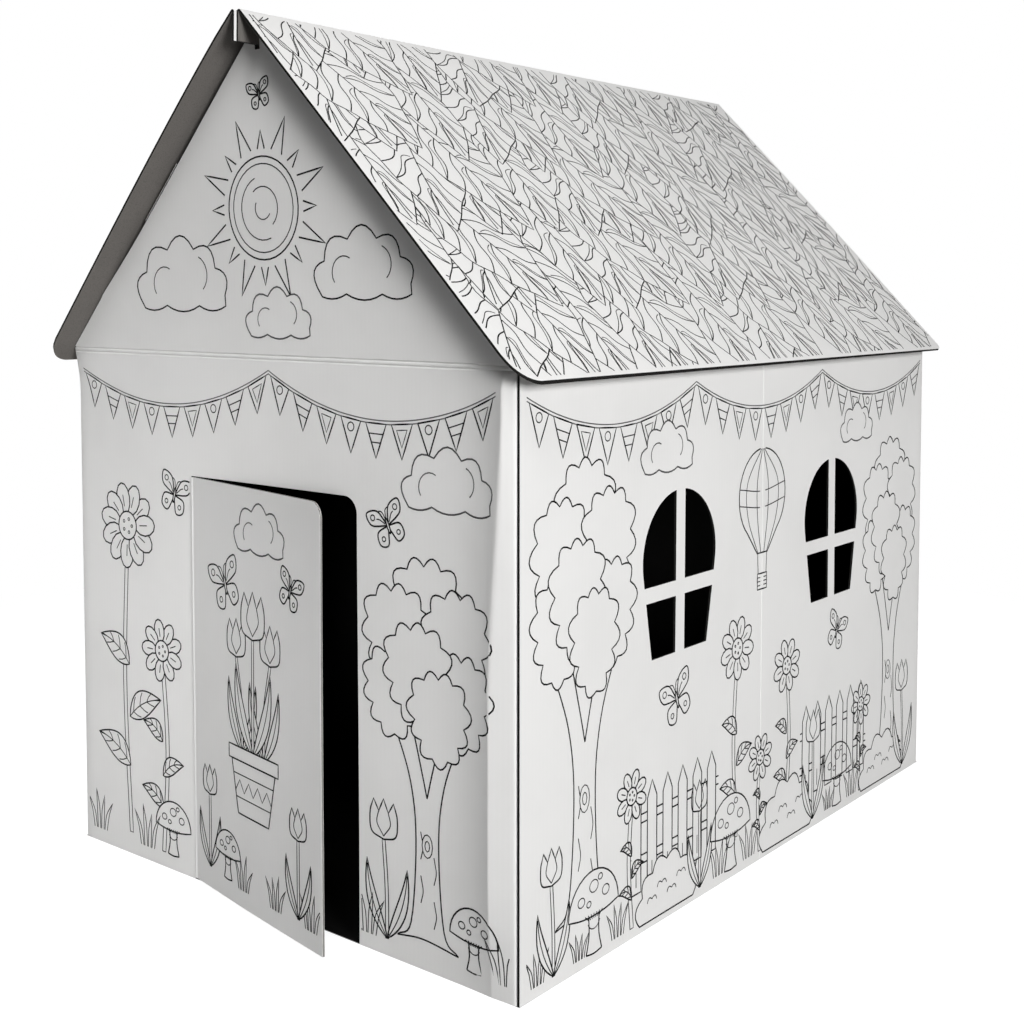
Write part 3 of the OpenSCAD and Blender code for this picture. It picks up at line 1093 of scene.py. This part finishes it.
def toadstool(d, foot, height):
    """A spotted toadstool."""
    cap, wide = foot + 0.52j * height, 0.52 * height
    for way in (-1, 1):
        d.curve(foot + height * np.array([0.16 * way, 0.1 * way + 0.25j, 0.12 * way + 0.55j]))
    d.curve(foot + height * np.array([-0.16, -0.02j, 0.16]))
    turns = np.radians(np.linspace(0, 180, 17))
    dome = cap + wide * np.cos(turns) + 0.5j * height * np.sin(turns)
    under = cap - 0.06j * height
    brim = through([dome[-1], under - 0.4 * wide, under + 0.4 * wide, dome[0]])
    d.shape(np.concatenate([dome, brim[1:-1]]))
    spots = ((0, 0.3, 0.09), (-0.5, 0.17, 0.07), (0.48, 0.18, 0.075), (-0.2, 0.1, 0.045),
             (0.26, 0.38, 0.045))
    for x, y, r in spots:
        d.line(ring(cap + x * wide + 1j * y * height, r * height, 0.85, count=12), True)
    for k in range(-3, 4):
        d.line(straight(cap + height * (0.06 * k - 0.035j), cap + height * (0.035 * k - 0.1j)), True)
    d.line(arc(foot + 0.42j * height, 0.13 * height, 200, 340), True)


def butterfly(d, middle, size, tilt):
    """A butterfly seen from above."""
    upper = [0.05 + 0.1j, 0.35 + 0.75j, 0.95 + 0.85j, 0.85 + 0.3j, 0.05 + 0.02j]
    lower = [0.05, 0.65 - 0.1j, 0.72 - 0.6j, 0.3 - 0.75j, 0.05 - 0.2j]
    vein = [0.12 + 0.12j, 0.35 + 0.38j, 0.5 + 0.46j]
    feeler = [0.02 + 0.32j, 0.1 + 0.62j, 0.26 + 0.72j]
    for way in (-1, 1):
        def placed(half):
            return middle + turned(tilt) * size * (way * np.real(half) + 1j * np.imag(half))
        d.shape(through(placed(lower)))
        d.shape(through(placed(upper)))
        for spot, radius in ((0.68 + 0.58j, 0.12), (0.45 - 0.42j, 0.1)):
            d.line(ring(placed(spot), radius * size, count=10), True)
        d.curve(placed(vein), True)
        d.curve(placed(feeler), True)
    d.shape(ring(middle, 0.34 * size, 0.2, 90 + tilt, 14)[:-1])


def bunting(d, start, end, sag, flags, tall):
    """A string of flags that sags between two places."""
    t = np.linspace(0, 1, 40)
    string = start + (end - start) * t - 1j * sag * 4 * t * (1 - t)
    d.line(string, True, 0.5)
    d.line(string + 0.004j, True, 0.5)
    for k in range(flags):
        left, right = np.interp([(k + 0.1) / flags, (k + 0.9) / flags], t, string)
        tip = (left + right) / 2 - 1j * tall
        d.shape([left, right, tip])
        inner = (left + right + tip) / 3
        if k % 3 == 0:
            d.line(ring(inner + 0.1j * tall, 0.13 * tall, count=12), True)
        elif k % 3 == 1:
            for share in (0.3, 0.55):
                d.line([left + (tip - left) * share, right + (tip - right) * share], True)
        else:
            d.line((np.array([left, right, tip, left]) + inner) / 2, True)


def sun(d, middle, radius, rays=16):
    """A round sun with long and short rays."""
    for k in range(rays):
        far, wide = (1.85, 0.16) if k % 2 else (1.5, 0.1)
        way = turned(360 * k / rays)
        d.line(middle + radius * way * np.array([1.14 - 1j * wide, far, 1.14 + 1j * wide]))
    d.shape(ring(middle, radius, count=40)[:-1])
    d.line(ring(middle, 0.86 * radius, count=36), True)
    for k in range(3):
        d.line(arc(middle, radius * (0.62 - 0.2 * k), 110 + 200 * k, 290 + 200 * k, 16), True)


def balloon(d, middle, size):
    """A hot-air balloon with striped gores and a basket."""
    neck, basket = middle - 1.25j * size, middle - 1.7j * size
    for way in (-1, 1):
        d.line(straight(neck + way * 0.2 * size, basket + way * 0.17 * size), True)
    dome = arc(middle, size, -50, 230, 33)
    skirt = [through([dome[-1], neck - 0.22 * size]), through([neck + 0.22 * size, dome[0]])]
    d.shape(np.concatenate([dome, *skirt]))
    for x in (-0.62, -0.22, 0.22, 0.62):
        seam = np.array([0.1 * x + 0.99j, 1.05 * x + 0.3j, x - 0.45j, 0.3 * x - 1.25j])
        d.curve(middle + size * seam, True)
    for level in (-0.15, 0.2):
        wide = math.sqrt(1 - level ** 2)
        d.curve(middle + size * (np.array([-wide, -0.12j, wide]) + 1j * level), True)
    d.shape(basket + size * rectangle(-0.2, -0.34, 0.2, 0.0))
    for k in range(1, 4):
        level = basket - 0.085j * k * size
        d.line(straight(level - 0.2 * size, level + 0.2 * size), True)


def fence(d, left, right, height, pickets):
    """A picket fence on the ground line."""
    for level in (0.26, 0.34, 0.64, 0.72):
        d.line(straight(left + 1j * height * level, right + 1j * height * level))
    step = (right - left) / pickets
    half = 0.3 * abs(step)
    for k in range(pickets):
        foot = left + step * (k + 0.5)
        shoulder = 0.84j * height
        d.shape(foot + np.array([-half, half, half + shoulder, 1j * height, shoulder - half]))
        d.line(straight(foot + 0.06j * height, foot + 0.24j * height), True)


def flower_pot(d, foot, size):
    """A banded pot with tulips."""
    for x, tall, bend in ((-0.3, 1.9, -0.16), (0.3, 1.95, 0.17), (0.0, 2.35, 0.0)):
        tulip(d, foot + size * (x + 0.92j), tall * size, bend * size)
    d.shape(foot + size * np.array([-0.42, 0.42, 0.6 + 0.8j, -0.6 + 0.8j]))
    d.shape(foot + size * rectangle(-0.68, 0.78, 0.68, 0.98))
    d.line([foot + size * (0.125 * k - 0.5 + (0.5j if k % 2 else 0.32j)) for k in range(9)], True)
    for level, wide in ((0.24j, 0.47), (0.58j, 0.54)):
        d.line(straight(foot + size * (level - wide), foot + size * (level + wide)), True)


def meadow(d, left, right, foot, plants):
    """A row of plants of several kinds along the ground."""
    step = (right - left) / plants
    for k in range(plants):
        grass(d, left + step * (k + 0.12) + 1j * foot, d.spread(0.035, 0.06))
    for k in range(plants):
        spot = left + step * (k + 0.5) + 1j * foot
        kind = k % 4
        if kind == 0:
            tulip(d, spot, d.spread(0.13, 0.17), d.spread(-0.01, 0.01))
        elif kind == 1:
            toadstool(d, spot, d.spread(0.07, 0.1))
        elif kind == 2:
            tall_flower(d, spot, d.spread(0.12, 0.16), 0.032, 0.006, 8)
        else:
            bush(d, spot, d.spread(0.11, 0.15), d.spread(0.05, 0.075))


# The printed pictures

def gable_picture(d, left, right):
    """Sun and clouds on a gable, above strings of flags that reach from left to right."""
    middle = from_left(0.0)
    sun(d, middle + 0.865j, 0.062)
    cloud(d, middle - 0.16 + 0.75j, 0.17)
    cloud(d, middle + 0.165 + 0.765j, 0.15)
    cloud(d, middle + 0.02 + 0.715j, 0.11, 0.35)
    butterfly(d, middle + 1.0j, 0.02, 12)
    for start, end in ((left + 0.655j, 0.665j), (0.665j, right + 0.655j)):
        bunting(d, middle + start, middle + end, 0.045, 9, 0.04)


def gable_panel():
    """Outline of the printed part of a gable wall."""
    walls, inset = settings("walls"), 5 * MM
    left, right = inset, gable_span() - inset
    shoulder = 1j * (walls.wall_h + walls.shoulder_h - inset)
    peak = from_left(0.0) + 1j * (gable_edge(0) - 0.03)
    return np.array([left + 0.002j, right + 0.002j, right + shoulder, peak, left + shoulder])


def front_picture(d):
    """Garden on the front wall, either side of the doorway."""
    middle = from_left(0.0)
    gable_picture(d, -0.375, 0.363)
    tall_flower(d, middle - 0.285 + 0.03j, 0.42, 0.058)
    tall_flower(d, middle - 0.215 + 0.02j, 0.27, 0.042, -0.01, 9)
    toadstool(d, middle - 0.195 + 0.02j, 0.07)
    butterfly(d, middle - 0.185 + 0.5j, 0.03, -15)
    tree(d, middle + 0.258 + 0.03j, 0.42, 0.185)
    tulip(d, middle + 0.195 + 0.02j, 0.16, -0.005)
    toadstool(d, middle + 0.328 + 0.02j, 0.07)
    butterfly(d, middle + 0.2 + 0.5j, 0.028, 25)
    cloud(d, middle + 0.29 + 0.53j, 0.13, 0.3)
    for spot in (-0.355, -0.25, 0.163, 0.372):
        grass(d, middle + spot + 0.018j, 0.055)
    d.cut(door_outline(4 * MM))
    d.cut(gable_panel(), True)


def side_picture(d, mirrored):
    """Garden on a side wall, round its two windows where it has them."""
    walls = settings("walls")

    def at(distance):
        return along_side(distance if mirrored else WALL_L - distance)

    low, high = sorted((at(0.012), at(WALL_L - 0.012)))
    third = (high - low) / 3
    for k in range(3):
        bunting(d, low + third * k + 0.65j, low + third * (k + 1) + 0.65j, 0.04, 8, 0.042)
    tree(d, at(0.118) + 0.06j, 0.50, 0.18)
    tree(d, at(0.918) + 0.05j, 0.47, 0.17)
    balloon(d, at(0.518) + 0.495j, 0.062)
    tall_flower(d, at(0.455) + 0.05j, 0.25, 0.042, 0.008, 9)
    tall_flower(d, at(0.59) + 0.04j, 0.21, 0.038, -0.008, 8)
    butterfly(d, at(0.31) + 0.265j, 0.034, 18)
    butterfly(d, at(0.74) + 0.27j, 0.03, -24)
    cloud(d, at(0.285) + 0.555j, 0.11, 0.3)
    cloud(d, at(0.80) + 0.55j, 0.1, 0.3)
    for ends in ((0.205, 0.41), (0.63, 0.84)):
        left, right = sorted(at(end) for end in ends)
        fence(d, left + 0.05j, right + 0.05j, 0.13, 6)
    meadow(d, low + 0.01, high - 0.01, 0.012, 13)
    d.cut(rectangle(low, 0.002, high, walls.wall_h - 0.004), True)
    for place in () if mirrored else (-1, 1):
        middle = along_side(WALL_L / 2 + place * walls.window_y) + 1j * (walls.sill_z + walls.window_h / 2)
        d.cut(middle + rectangle(-0.09, -0.108, 0.09, 0.106))


def back_picture(d):
    """Garden on the back wall."""
    middle = from_left(0.0)
    gable_picture(d, -0.38, 0.37)
    tree(d, middle - 0.24 + 0.06j, 0.5, 0.24)
    tree(d, middle + 0.25 + 0.06j, 0.46, 0.22)
    balloon(d, middle + 0.02 + 0.46j, 0.085)
    fence(d, middle - 0.13 + 0.05j, middle + 0.15 + 0.05j, 0.14, 7)
    meadow(d, middle - 0.37, middle + 0.36, 0.012, 9)
    butterfly(d, middle - 0.06 + 0.26j, 0.036, 14)
    d.cut(gable_panel(), True)


def door_picture(d):
    """Pot of tulips on the door."""
    walls = settings("walls")
    flower_pot(d, 0.15 + 0.12j, 0.085)
    butterfly(d, 0.085 + 0.4j, 0.036, 20)
    butterfly(d, 0.235 + 0.415j, 0.026, -18)
    cloud(d, 0.165 + 0.455j, 0.11, 0.3)
    for spot in (0.125, 0.2, 0.276):
        grass(d, spot + 0.024j, 0.045)
    for spot in (0.042, 0.25):
        tulip(d, spot + 0.03j, 0.13)
    toadstool(d, 0.087 + 0.028j, 0.06)
    inset = 6 * MM
    d.cut(rectangle(8 * MM, walls.door_foot + 4 * MM, walls.door_w - inset, walls.door_h - inset), True)


def frond(d, root, tip, width, bend, veins=8):
    """A broad leaf with a curved midrib and flowing side veins, some of them double."""
    axis = tip - root
    side = 1j * axis / abs(axis)
    t = np.linspace(0, 1, 29)
    middle = root + axis * t + side * bend * 4 * t * (1 - t)
    half = width / 2 * np.sin(math.pi * t ** 0.78) ** 0.95
    wavy = {way: half * (1 + 0.035 * np.sin(2 * math.pi * (4.5 * t + 0.2 * way))) for way in (-1, 1)}
    d.shape(np.concatenate([middle + side * wavy[1], (middle - side * wavy[-1])[-2:0:-1]]))
    d.line(middle[:-1])
    s = np.linspace(0, 1, 13)
    sway = np.sin(2 * math.pi * s)
    for way in (-1, 1):
        for k in range(veins):
            start = 0.02 + 0.74 * k / (veins - 1) + 0.015 * way
            end = start + 0.27 - 0.12 * start
            along = start + (end - start) * (s - 0.02 * sway)
            out = side * way * 0.97 * np.interp(end, t, wavy[way]) * (s + 0.095 * sway)
            d.line(np.interp(along, t, middle) + out)
            if (k + (way > 0)) % 2:
                beside = along - 0.055 * np.sin(math.pi * s)
                d.line((np.interp(beside, t, middle) + out)[1:], True)


def roof_picture(d, way):
    """Broad leaves that lie over each other in rows, leaning to and fro."""
    prow, slope = settings("roof").prow, slope_length()
    rows, columns = 6, 8
    d.pen, d.fine = 0.82 * d.pen, 0.8 * d.fine
    step = 2 * ROOF_HALF / columns
    for row in range(rows):
        for upright in (True, False):
            for column in range(-2, columns + 2):
                u = -ROOF_HALF + (column + 0.37 * row % 1 + (0.5 if upright else 0)) * step
                lean = d.spread(-9, 9) if upright else (1 if column % 2 else -1) * d.spread(16, 34)
                foot = -slope - 0.02 + row * 0.125 + d.spread(-0.012, 0.012)
                tip = u + d.spread(-0.012, 0.012) + 1j * foot
                root = tip + 1j * d.spread(0.23, 0.27) * turned(lean)
                bend = d.spread(0.004, 0.018) * (1 if lean > 0 else -1)
                frond(d, root, tip, d.spread(0.13, 0.155), bend)
    inset = 7 * MM
    front, back = way * (ROOF_HALF - prow - inset), -way * (ROOF_HALF - inset)
    low, high = -1j * (slope - inset), -1j * inset
    d.cut(np.array([front + low, back + low, back + high, front + way * prow + high]), True)
    cut_off = np.array([0.02 - 0.02j, -0.024 - 0.02j, -0.024 + 1j * inset, -inset + 0.024j, 0.02 + 0.024j])
    d.cut(way * (ROOF_HALF - prow + cut_off.real) + 1j * (cut_off.imag - slope))


# Ink pieces

def thin_out(places, turn=0.10, near=0.0002, far=0.012):
    """Leaves out places on a stroke where it hardly turns, and adds some where they lie far apart."""
    places = places[np.append(True, np.abs(np.diff(places)) > near)]
    if len(places) < 2:
        return places
    out = [places[0]]
    swung = 0.0
    for k in range(1, len(places) - 1):
        swung += abs(np.angle((places[k + 1] - places[k]) / (places[k] - places[k - 1])))
        if swung > turn or abs(places[k + 1] - out[-1]) > far:
            out.append(places[k])
            swung = 0.0
    out.append(places[-1])
    full = []
    for a, b in zip(out[:-1], out[1:]):
        count = max(1, math.ceil(abs(b - a) / far))
        full += [a + (b - a) * k / count for k in range(count)]
    return np.array(full + [out[-1]])


def ink_piece(name, drawing, folded):
    """Strokes as thin closed ribbons of ink, folded with the sheet they are printed on.

    Each stroke is first laid at a height of its own tone, which is read back from the mesh."""
    pen = settings("print")
    weld = 1e-6
    piece = added(name, bpy.ops.curve.primitive_nurbs_path_add)
    curve = piece.data
    curve.splines.clear()
    curve.twist_mode = "Z_UP"
    # A stroke's radius holds its whole width, so the bevel is half of it
    curve.bevel_depth = 0.5
    curve.bevel_resolution = 0
    curve.use_fill_caps = True
    for places, width, tone in drawing.strokes:
        places = thin_out(places)
        if len(places) < 2:
            continue
        closed = abs(places[0] - places[-1]) < weld
        if closed:
            places = places[:-1]
        spline = curve.splines.new("POLY")
        spline.points.add(len(places) - 1)
        rows = np.column_stack([places.real, places.imag, np.full(len(places), tone), np.ones(len(places))])
        spline.points.foreach_set("co", rows.ravel())
        spline.points.foreach_set("radius", np.full(len(places), width))
        spline.use_cyclic_u = closed
    use(piece)
    bpy.ops.object.convert(target="MESH")
    piece = bpy.context.active_object
    piece.data.name = name
    bpy.ops.object.mode_set(mode="EDIT")
    bpy.ops.mesh.select_all(action="SELECT")
    bpy.ops.mesh.remove_doubles(threshold=weld)
    bpy.ops.mesh.normals_make_consistent(inside=False)
    bpy.ops.object.mode_set(mode="OBJECT")
    flat = points_of(piece)
    if not len(flat):
        raise RuntimeError(f"{name} has no strokes")
    tones = np.round(flat[:, 2], 2)
    flat[:, 2] = pen.lift + np.sign(np.round(flat[:, 2] - tones, 5)) * pen.body
    tone = piece.data.attributes.new("tone", "FLOAT", "POINT")
    tone.data.foreach_set("value", tones)
    piece.data.vertices.foreach_set("co", folded(flat).ravel())
    piece.data.update()
    return piece


# Stage, with where each lamp stands and what it faces, in metres

LAMP_PLACES = {
    "key_lamp": ((4.68, -2.24, 1.54), (0.1, 0.0, 0.5)),
    "high_lamp": ((0.9, -2.12, 3.88), (0.1, 0.0, 0.6)),
    "back_lamp": ((-3.2, 2.6, 2.4), (0.0, 0.0, 0.5)),
    "fill_lamp": ((0.35, -2.4, 0.22), (-0.27, -0.49, 0.25)),
}
FLOOR_SIDE = 60
SENSOR = 36.0


def floor_stage(stage):
    """A pale floor that keeps the shadow near the object and is white further off, with painted shade inside
    the house where the floor is near black.
    """
    floor = added("floor", bpy.ops.mesh.primitive_plane_add, size=FLOOR_SIDE)
    f = Finish(bpy.data.materials.new("pale_floor"))
    place = f.node("ShaderNodeTexCoord", output="Object")
    white_from, white_to, edge = 0.7, 1.9, 1.5 * MM
    distance = f.node("ShaderNodeVectorMath", {"operation": "LENGTH"}, {0: place}, output="Value")
    far = f.ramp(distance, white_from, white_to)
    seen = f.node("ShaderNodeLightPath", output="Is Camera Ray")
    white = f.node("ShaderNodeEmission", {}, {"Color": (1.0, 1.0, 1.0, 1.0), "Strength": 1.0})
    aside = f.node("ShaderNodeSeparateXYZ", {}, {0: place}, output=0)
    along = f.node("ShaderNodeSeparateXYZ", {}, {0: place}, output=1)
    past_side = f.ramp(abs(aside), HALF_W - edge, HALF_W + edge)
    past_end = f.ramp(abs(along - MID_Y), WALL_L / 2 - edge, WALL_L / 2 + edge)
    open_air = past_side.math("MAXIMUM", past_end)
    # Inside the house's footprint the diffuse floor is near black: painted shade.
    lit = f.node("ShaderNodeBsdfDiffuse", {}, {"Color": f.mix(open_air, stage.under, stage.floor)})
    glow = f.mix(open_air * seen, (0.0, 0.0, 0.0), [stage.floor_glow] * 3)
    lift = f.node("ShaderNodeEmission", {}, {"Color": glow, "Strength": 1.0})
    near = f.node("ShaderNodeAddShader", {}, {0: lit, 1: lift})
    shown = f.node("ShaderNodeMixShader", {}, {0: far * seen, 1: near, 2: white})
    f.node("ShaderNodeOutputMaterial", {}, {"Surface": shown})
    floor.data.materials.append(f.owner)


def sky_stage(stage):
    """Even light from all round, white where the camera sees it."""
    world = bpy.data.worlds.new("studio")
    bpy.context.scene.world = world
    f = Finish(world)
    seen = f.node("ShaderNodeLightPath", output="Is Camera Ray")
    shown = f.mix(seen, [stage.sky] * 3, (1.0, 1.0, 1.0))
    sky = f.node("ShaderNodeBackground", {}, {"Color": shown, "Strength": 1.0})
    f.node("ShaderNodeOutputWorld", {}, {"Surface": sky})


def lamp(name, power, side):
    """A square soft lamp at its place, facing its target."""
    place, target = LAMP_PLACES[name]
    made = added(name, bpy.ops.object.light_add, type="AREA", location=place)
    made.data.energy = power
    made.data.size = side
    way = np.array(target) - np.array(place)
    tilt = math.atan2(math.hypot(way[0], way[1]), -way[2])
    made.rotation_euler = (tilt, 0.0, math.atan2(way[1], way[0]) - math.pi / 2)
    return made.data


# Operators

class PLAYHOUSE_OT_wall_sheets(bpy.types.Operator):
    """Cut and fold the two wall sheets"""
    bl_idname = "playhouse.wall_sheets"
    bl_label = "Wall sheets"

    def execute(self, context):
        card = board_of("wall_card", "wall_edge", "wall_liner")
        for side, front in (("front_left", True), ("right_back", False)):
            dress(wall_sheet(side + "_sheet", front), card, "house", "wall_board", side + "_walls")
        return {"FINISHED"}


class PLAYHOUSE_OT_roof_sheets(bpy.types.Operator):
    """Cut and fold the two roof sheets"""
    bl_idname = "playhouse.roof_sheets"
    bl_label = "Roof sheets"

    def execute(self, context):
        card = board_of("roof_card", "roof_edge", "roof_liner")
        for node, right in (("left_roof", False), ("right_roof", True)):
            dress(roof_sheet(node + "_sheet", right), card, "house", "roof_board", node)
        return {"FINISHED"}


class PLAYHOUSE_OT_door(bpy.types.Operator):
    """Cut the door flap and set it ajar"""
    bl_idname = "playhouse.door"
    bl_label = "Door"

    def execute(self, context):
        dress(door_panel(), board_of("door_card", "door_edge", "wall_liner"), "door", "wall_board", "door")
        return {"FINISHED"}


class PLAYHOUSE_OT_wall_print(bpy.types.Operator):
    """Print the garden on the walls"""
    bl_idname = "playhouse.wall_print"
    bl_label = "Wall print"

    def execute(self, context):
        for name, front, seed in (("front_left_print", True, 3), ("right_back_print", False, 8)):
            drawing = Drawing(seed)
            side_picture(drawing, front)
            gable = Drawing(seed + 1)
            (front_picture if front else back_picture)(gable)
            drawing.strokes += gable.strokes
            piece = ink_piece(name, drawing, lambda flat: fold_walls(flat, front))
            dress(piece, ink(), "house", "print_ink")
        return {"FINISHED"}


class PLAYHOUSE_OT_roof_print(bpy.types.Operator):
    """Print the leaves on the roof"""
    bl_idname = "playhouse.roof_print"
    bl_label = "Roof print"

    def execute(self, context):
        for name, right, seed in (("left_roof_print", False, 5), ("right_roof_print", True, 6)):
            drawing = Drawing(seed)
            roof_picture(drawing, -1 if right else 1)
            piece = ink_piece(name, drawing, lambda flat: fold_roof(flat, right))
            dress(piece, ink(), "house", "print_ink")
        return {"FINISHED"}


class PLAYHOUSE_OT_door_print(bpy.types.Operator):
    """Print the picture on the door"""
    bl_idname = "playhouse.door_print"
    bl_label = "Door print"

    def execute(self, context):
        drawing = Drawing(4)
        door_picture(drawing)
        dress(ink_piece("door_print", drawing, fold_door), ink(), "door", "print_ink")
        return {"FINISHED"}


class PLAYHOUSE_OT_stage(bpy.types.Operator):
    """Set the floor, the lamps and the camera"""
    bl_idname = "playhouse.stage"
    bl_label = "Stage"

    def execute(self, context):
        stage = settings("stage")
        context.scene.view_settings.view_transform = "Standard"
        floor_stage(stage)
        sky_stage(stage)
        lamp("key_lamp", stage.key_power, stage.key_side)
        lamp("high_lamp", stage.high_power, stage.high_side)
        lamp("back_lamp", stage.back_power, stage.high_side)
        lamp("fill_lamp", stage.fill_power, stage.fill_side).spread = stage.fill_spread
        place, facing = stage.camera_place, (math.pi / 2 - stage.camera_down, 0.0, stage.camera_turn)
        camera = added("photo_camera", bpy.ops.object.camera_add, location=place, rotation=facing)
        camera.data.sensor_width = SENSOR
        camera.data.lens = stage.camera_lens
        camera.data.shift_y = stage.camera_shift
        context.scene.camera = camera
        return {"FINISHED"}


OPERATORS = (
    PLAYHOUSE_OT_wall_sheets,
    PLAYHOUSE_OT_roof_sheets,
    PLAYHOUSE_OT_door,
    PLAYHOUSE_OT_wall_print,
    PLAYHOUSE_OT_roof_print,
    PLAYHOUSE_OT_door_print,
    PLAYHOUSE_OT_stage,
)


class PLAYHOUSE_PT_panel(bpy.types.Panel):
    """Lists the steps that build the play house"""
    bl_label = "Playhouse"
    bl_idname = "PLAYHOUSE_PT_panel"
    bl_space_type = "VIEW_3D"
    bl_region_type = "UI"
    bl_category = "Playhouse"

    def draw(self, context):
        for operator in OPERATORS:
            self.layout.operator(operator.bl_idname)
        for group in SETTINGS:
            box = self.layout.box()
            box.label(text=SETTINGS[group].__doc__)
            for name in SETTINGS[group].__annotations__:
                box.prop(getattr(context.scene, group), name)


CLASSES = (*SETTINGS.values(), *OPERATORS, PLAYHOUSE_PT_panel)


def register():
    for kind in CLASSES:
        bpy.utils.register_class(kind)
    for name, kind in SETTINGS.items():
        setattr(bpy.types.Scene, name, bpy.props.PointerProperty(type=kind))


def unregister():
    for name in SETTINGS:
        delattr(bpy.types.Scene, name)
    for kind in reversed(CLASSES):
        bpy.utils.unregister_class(kind)


def main():
    register()
    bpy.ops.playhouse.wall_sheets()
    bpy.ops.playhouse.roof_sheets()
    bpy.ops.playhouse.door()
    bpy.ops.playhouse.wall_print()
    bpy.ops.playhouse.roof_print()
    bpy.ops.playhouse.door_print()
    bpy.ops.playhouse.stage()


if __name__ == "__main__":
    main()
